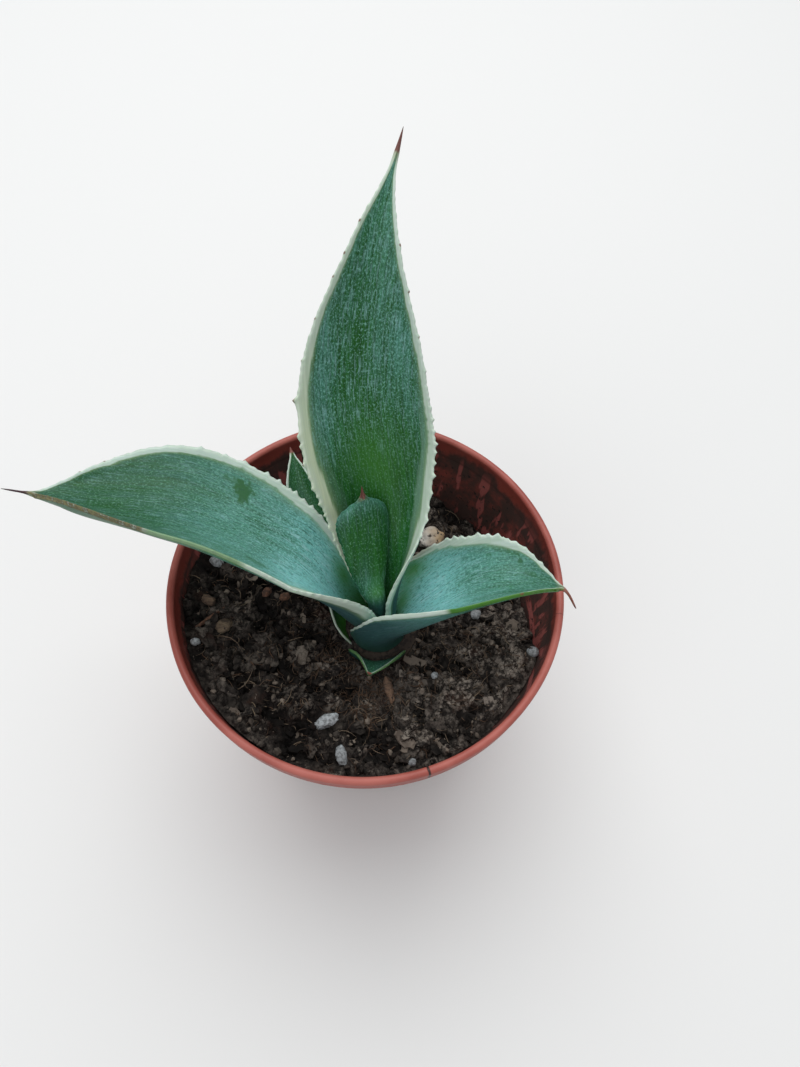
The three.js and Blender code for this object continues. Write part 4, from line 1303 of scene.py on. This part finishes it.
veins = leaf_noise(2.2, 0.07, 4, 0.6)
broad = leaf_noise(0.55, 0.05, 3, 0.55)
cloudy = leaf_noise(0.24, 0.13, 4, 0.6)
stipple = leaf_noise(2.9, 1.9, 2, 0.75)
scratches = leaf_noise(2.6, 0.22, 4, 0.8)
green = blend(ease(veins, 0.3, 0.7), (0.005, 0.056, 0.006), (0.014, 0.108, 0.011))
green = blend(worn, green, (0.014, 0.092, 0.026))
bloom = tone_bloom + swing(broad, 0.35)
bloom = bloom + swing(cloudy, 0.25)
bloom = bloom + swing(stipple, 0.8)
bloom = bloom + swing(veins, 0.4)
bloom = clamped(bloom * ease(tone_bloom, 0.0, 0.3, 0.3, 1.0))
bare = clamped(1 - worn)
bloom = clamped(bloom * bare * leaf_in["Bloom Share"])
film = blend(ease(tone_streak, 0.3, 0.7), (0.033, 0.095, 0.09), (0.096, 0.28, 0.245))
# The palest step, where the streak tone is near one, mostly near the bases of the left and right leaves, is
# thick bloom with painted light on parts that lie in shade.
film = blend(ease(tone_streak, 0.74, 1.0), film, (0.19, 0.51, 0.5))
skin_colour = blend(bloom, green, film)
scratch = ease(scratches, 0.51, 0.6) * (tone_streak * bare)
scratch = scratch * ease(cloudy, 0.35, 0.6, 0.2, 0.7)
scratch_colour = blend(ease(tone_streak, 0.8, 1.0), (0.22, 0.41, 0.42), (0.36, 0.6, 0.64))
skin_colour = blend(scratch, skin_colour, scratch_colour)
dots = ease(stipple, 0.54, 0.64, 0, 0.55) * bare
dot_colour = blend(ease(tone_streak, 0.4, 1.0), (0.12, 0.3, 0.17), (0.24, 0.52, 0.44))
skin_colour = blend(dots, skin_colour, dot_colour)
pores = ease(leaf_noise(2.8, 0.6, 3, 0.75), 0.48, 0.38, 0, 0.5)
skin_colour = blend(pores, skin_colour, (0.008, 0.062, 0.03))
relief = veins * 0.8 + stipple * 0.35
finish_group(waxy_skin, Colour=skin_colour, Waxy=bloom, Relief=relief, Veins=veins, Broad=broad)

# %% [markdown]
# Variegation is a lack of green: the cream margin is the bare flesh of the leaf. Its inner side
# is blurred, because the layers of cells end at different places, and a grey-green half-tone
# often lies between cream and green. The group mixes the margin over the skin by its distance
# from the edge, given in widths of the cream band, and adds the dry brown parts and the spine.

# %% Group: cream margin, dry edges and spine
cream_margin, rim_in = new_group(
    "cream_margin",
    {"Skin": (0.1, 0.3, 0.2, 1), "Place": None, "Margin": None, "End": None, "Tint": None,
     "Veins": 0.5, "Broad": 0.5, "Band": 1.0, "Edge Reach": 0.9, "Base Shade": 0.0},
    ["Colour", "Dry"])
mx, my, edge_ratio = split(rim_in["Place"])
stripe, dry_edge, yellow = split(rim_in["Margin"])
beyond, lime, tooth = split(rim_in["End"])
warm, fresh, low = split(rim_in["Tint"])
ragged = edge_ratio * rim_in["Band"]
ragged = ragged + (rim_in["Broad"] - 0.5) * 0.9
ragged = ragged + (rim_in["Veins"] - 0.5) * 0.4
colour = blend(lime * 0.85, rim_in["Skin"], (0.045, 0.19, 0.018))
# Painted shade: the leaf's base is darkened, as much as Base Shade says.
colour = blend(low * rim_in["Base Shade"], colour, (0.016, 0.046, 0.054))
half_tone = ease(ragged, 2.1, 1.6) * (stripe * 0.5)
colour = blend(half_tone, colour, (0.19, 0.33, 0.25))
blur = ease(ragged, 1.5, 0.9) * 0.5
colour = blend(blur, colour, (0.21, 0.32, 0.15))
flesh_tone = blend(yellow, (0.47, 0.58, 0.54), (0.56, 0.62, 0.38))
outer_pale = ease(ragged, 0.6, 0.1) * 0.5
flesh_tone = blend(outer_pale, flesh_tone, (0.66, 0.74, 0.66))
flesh_tone = blend(ease(rim_in["Veins"], 0.35, 0.7, 0.35, 0), flesh_tone, (0.26, 0.37, 0.25))
colour = blend(ease(ragged, 1.08, 0.8), colour, flesh_tone)
rim_place = flat_vector(mx, my)
scabs = speckle(stretch(rim_place, (1.6, 0.7, 1)), 1, 4, 0.7)
outermost = ragged / rim_in["Edge Reach"]
greenest = ease(outermost, 0.7, 0.4) * fresh
colour = blend(greenest, colour, (0.055, 0.18, 0.022))
dryness = clamped(ease(outermost, 0.95, 0.5) * (dry_edge * ease(scabs, 0.3, 0.5, 0.35, 1)))
parched = blend(ease(scabs, 0.4, 0.6), (0.065, 0.05, 0.024), (0.17, 0.16, 0.08))
colour = blend(dryness, colour, parched)
colour = blend(ease(tooth, 0.3, 0.8, 0, 0.85), colour, (0.16, 0.07, 0.035))
horn_start = blend(warm, (0.055, 0.022, 0.024), (0.25, 0.105, 0.08))
horn_middle = blend(warm, (0.045, 0.02, 0.026), (0.2, 0.07, 0.05))
horn = blend(ease(beyond, 0.1, 0.5), horn_start, horn_middle)
horn = blend(ease(beyond, 0.75, 1.0, 0, 0.6), horn, (0.07, 0.055, 0.06))
colour = blend(ease(beyond, -0.5, 0.0, 0, 0.45), colour, (0.2, 0.17, 0.07))
colour = blend(ease(beyond, -0.05, 0.12), colour, horn)
specks = ease(speckle(stretch(rim_place, (1.1, 1.1, 1)), 1, 4, 0.85), 0.7, 0.73, 0, 0.7)
colour = blend(specks, colour, (0.05, 0.032, 0.02))
finish_group(cream_margin, Colour=colour, Dry=dryness)

# %% [markdown]
# The two faces of a leaf share both groups. Underneath, the bloom is thinner and less cream
# shows. Wax scatters light, so where it lies the skin is rougher, and a little light passes
# below the surface of so juicy a leaf.


# %% Finish: the two faces of a leaf
def leaf_finish(name, bloom_share, band, edge_reach, base_shade, rough):
    material, shader = new_finish(
        name, Specular_IOR_Level=0.22, Subsurface_Weight=0.05,
        Subsurface_Radius=(0.4, 1, 0.25), Subsurface_Scale=0.001)
    place = kept(shader, "leaf_place")
    skin = use_group(waxy_skin, {
        "Place": place, "Bloom": kept(shader, "leaf_bloom"), "Bloom Share": bloom_share})
    margin = use_group(cream_margin, {
        "Skin": skin["Colour"], "Place": place, "Margin": kept(shader, "leaf_margin"),
        "End": kept(shader, "leaf_end"), "Tint": kept(shader, "leaf_tint_and_shade"), "Veins": skin["Veins"],
        "Broad": skin["Broad"], "Band": band, "Edge Reach": edge_reach, "Base Shade": base_shade})
    roughness = ease(skin["Waxy"], 0.0, 0.9, rough, rough + 0.18) + margin["Dry"] * 0.3
    normal = bump(skin["Relief"], 0.35, 0.00012)
    feed(shader, Base_Color=margin["Colour"], Roughness=roughness, Normal=normal)
    return material


leaf_upper = leaf_finish("leaf_upper", bloom_share=1.0, band=1.0, edge_reach=0.8, base_shade=0.0, rough=0.42)
# The lower face gets a painted shade at the leaf's base.
leaf_under = leaf_finish("leaf_under", bloom_share=0.55, band=1.7, edge_reach=2.6, base_shade=0.85, rough=0.4)
print("leaf finishes:", leaf_upper.name, leaf_under.name)

# %% [markdown]
# Now the leaves grow, from the youngest to the oldest. Solidify keeps the points' marks on both
# faces and gives the lower face the second material.

# %% Grow the leaves
for seed, (name, leaf) in enumerate(LEAVES.items(), start=3):
    blade, most, run = model_leaf(name, leaf, seed)
    mark_leaf(blade, name, run)
    flesh = blade.modifiers.new("flesh", "SOLIDIFY")
    flesh.thickness = most * MM
    flesh.offset = -1
    flesh.vertex_group = "flesh"
    flesh.use_quality_normals = True
    flesh.material_offset = 1
    blade.data.materials.append(leaf_upper)
    blade.data.materials.append(leaf_under)
    press_modifiers(blade)
    smooth(blade)
    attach(blade, "root")
    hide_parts(name)
    print(name, "length", round(float(run["along"].max()), 1), "mm, faces", len(blade.data.polygons))

# %% [markdown]
# ## Stem and grains
#
# The stem hardly shows: a few millimetres of brown, woody shelf that the old leaves have left
# round the neck. It is a disc extruded and resized ring by ring, as the pot was.

# %% Stem
STEM_RINGS = [(5.8, 48), (8.3, 52), (9.2, 56), (9.3, 58.6), (8.9, 59.5), (6, 60.4), (2.5, 61.4), (0.6, 62)]
bpy.ops.mesh.primitive_circle_add(vertices=96, radius=STEM_RINGS[0][0] * MM, fill_type="NGON",
                                  location=(STEM_FOOT[0] * MM, STEM_FOOT[1] * MM, STEM_RINGS[0][1] * MM))
stem = named("stem_stub")
bpy.ops.object.transform_apply(location=True)
open_edit(stem)
extrude_rings(bpy.ops.mesh.extrude_region_move, STEM_RINGS[1:], STEM_RINGS[0], STEM_FOOT)
close_edit()
smooth(stem, 50)
stem_finish, shader = new_finish("woody_stem", Roughness=0.85)
where = object_place(shader)
bark_rings = speckle(stretch(where, (200, 200, 900)), 1, 4, 0.6)
bark_mix = blend(ease(bark_rings, 0.35, 0.65), (0.035, 0.024, 0.016), (0.1, 0.075, 0.045))
dusted = use_group(peat_dust, {"Place": where, "Clean Colour": bark_mix, "Film": 0.6, "Amount": 0.9})
feed(shader, Base_Color=dusted["Colour"], Normal=bump(bark_rings, 0.6, 0.0004))
settle(stem, "stem", "stem", stem_finish)

# %% [markdown]
# Perlite is blown volcanic glass: light, white and pitted, and in a pot it takes on the brown
# of the peat. The pebble and the bark lie among it, half sunk. Each grain is an icosphere
# roughened with noise, drawn to its own lengths, turned and set on the peat.


# %% Model one grain
def model_grain(node, coarse, edge, seed):
    """A roughened ball: coarse and edge say how lumpy it is and how small its lumps are."""
    (x, y), size, spin = SEATS[node]
    bpy.ops.mesh.primitive_ico_sphere_add(subdivisions=4, radius=MM)
    grain = named(node + "_grain")
    ball = points_of(grain)
    ball /= np.linalg.norm(ball, axis=1)[:, None]
    moved = []
    for point in ball:
        big = noise.noise(Vector(point) * 1.3 + Vector((seed, 0, 0)))
        facet = noise.cell(Vector(point) * 2.3 + Vector((0, 0, seed)))
        small = noise.fractal(Vector(point) * edge + Vector((0, seed, 0)), 1, 2, 3)
        moved.append(point * (0.9 + coarse * big + 0.04 * facet + 0.09 * small))
    moved = np.array(moved)
    moved /= np.abs(moved).max(axis=0)
    turn = np.array(Matrix.Rotation(math.radians(spin), 3, "Z"))
    middle = np.array([x, y, float(soil_top(x, y)) + 0.3 * size[2]])
    set_points(grain, (moved * size) @ turn.T + middle)
    smooth(grain)
    return grain


# %% [markdown]
# Three finishes serve the grains. Each starts from the colour of the clean stuff and takes its
# dirt from the group of peat dust. The perlite's is chalky with dark pits; the pebble is pale
# with a yellow half and black specks; the bark is red-brown or tan, by a number on each chip.

# %% Finish: perlite
perlite, shader = new_finish("perlite", Roughness=0.9)
where = object_place(shader)
pits = speckle(where, 1500, 4, 0.7)
chalk = blend(ease(pits, 0.36, 0.6), (0.21, 0.225, 0.23), (0.5, 0.54, 0.56))
dusted = use_group(peat_dust, {"Place": where, "Clean Colour": chalk, "Film": 0.4, "Amount": 0.4})
feed(shader, Base_Color=dusted["Colour"], Normal=bump(pits, 0.9, 0.0005))

# %% Finish: pebble
pebble_stone, shader = new_finish("pebble_stone", Roughness=0.7)
where = object_place(shader)
veiny = speckle(where, 260, 4, 0.6)
px, py, _ = split(where)
yellow_half = clamped(ease(px, 0.012, 0.017, 0, 0.8) + (veiny - 0.5) * 1.6)
stone = blend(yellow_half, (0.52, 0.49, 0.44), (0.44, 0.31, 0.17))
black = ease(speckle(where, 1100, 3, 0.6), 0.58, 0.63)
stone = blend(black, stone, (0.03, 0.025, 0.02))
feed(shader, Base_Color=stone, Normal=bump(veiny, 0.4, 0.0004))

# %% Finish: bark
bark_chip, shader = new_finish("bark_chip", Roughness=0.9)
where = object_place(shader)
tan = kept(shader, "tan", "Fac")
grain = speckle(stretch(where, (500, 1100, 900)), 1, 4, 0.7)
rust = blend(ease(grain, 0.35, 0.65), (0.055, 0.022, 0.012), (0.25, 0.1, 0.052))
pale = blend(ease(grain, 0.35, 0.65), (0.075, 0.05, 0.033), (0.25, 0.18, 0.11))
dusted = use_group(peat_dust, {
    "Place": where, "Clean Colour": blend(tan, rust, pale), "Film": 0.45, "Amount": 0.5})
feed(shader, Base_Color=dusted["Colour"], Normal=bump(grain, 0.9, 0.0005))

# %% Set the grains on the peat
TAN = {"bark_left": 1.0, "bark_far_left": 0.75, "bark_chip": 0.1, "bark_scrap": 0.2, "bark_sliver": 0.55}
for seed, node in enumerate(sorted(SEATS)):
    slot = node.split("_")[0]
    finish = {"perlite": perlite, "pebble": pebble_stone, "bark": bark_chip}[slot]
    coarse, edge = {"perlite": (0.18, 4.5), "pebble": (0.3, 2.2), "bark": (0.18, 2.8)}[slot]
    grain = model_grain(node, coarse, edge, seed * 3.1)
    store(grain, "tan", np.full(len(grain.data.vertices), TAN.get(node, 0.5)))
    settle(grain, node if node in GRAINS else None, slot, finish)

# %% [markdown]
# The twig is a dry, reddish bit of root. A short curve with a round bevel is the quickest rod
# with a bow in it. It is turned into a mesh, closed, and its skin is made knotty with noise.

# %% Twig
bpy.ops.curve.primitive_bezier_curve_add()
twig_path = bpy.context.object
twig_path.data.bevel_depth = 0.42 * MM
twig_path.data.bevel_resolution = 4
twig_path.data.resolution_u = 16
start, end = twig_path.data.splines[0].bezier_points
TWIG_ENDS = [(-36.2, -9.8), (-30.2, -4)]
for point, (x, y) in zip((start, end), TWIG_ENDS):
    point.co = Vector((x, y, soil_top(x, y) + 0.3)) * MM
bow = Vector((-0.4, 0.9, 0.3)) * MM
third = (end.co - start.co) / 3
start.handle_right = start.co + third + bow
start.handle_left = start.co - third
end.handle_left = end.co - third + bow
end.handle_right = end.co + third
only(twig_path)
bpy.ops.object.convert(target="MESH")
twig = named("dry_twig")
bpy.ops.object.transform_apply(location=True, rotation=True, scale=True)
open_edit(twig)
bpy.ops.mesh.fill_holes(sides=0)
close_edit()
knotty = points_of(twig)
knotty += np.array([noise.noise_vector(Vector(p / 1.2)) for p in knotty]) * 0.14
set_points(twig, knotty)
store(twig, "tan", np.full(len(twig.data.vertices), 0.2))
smooth(twig, 60)
settle(twig, "twig", "twig", bark_chip)
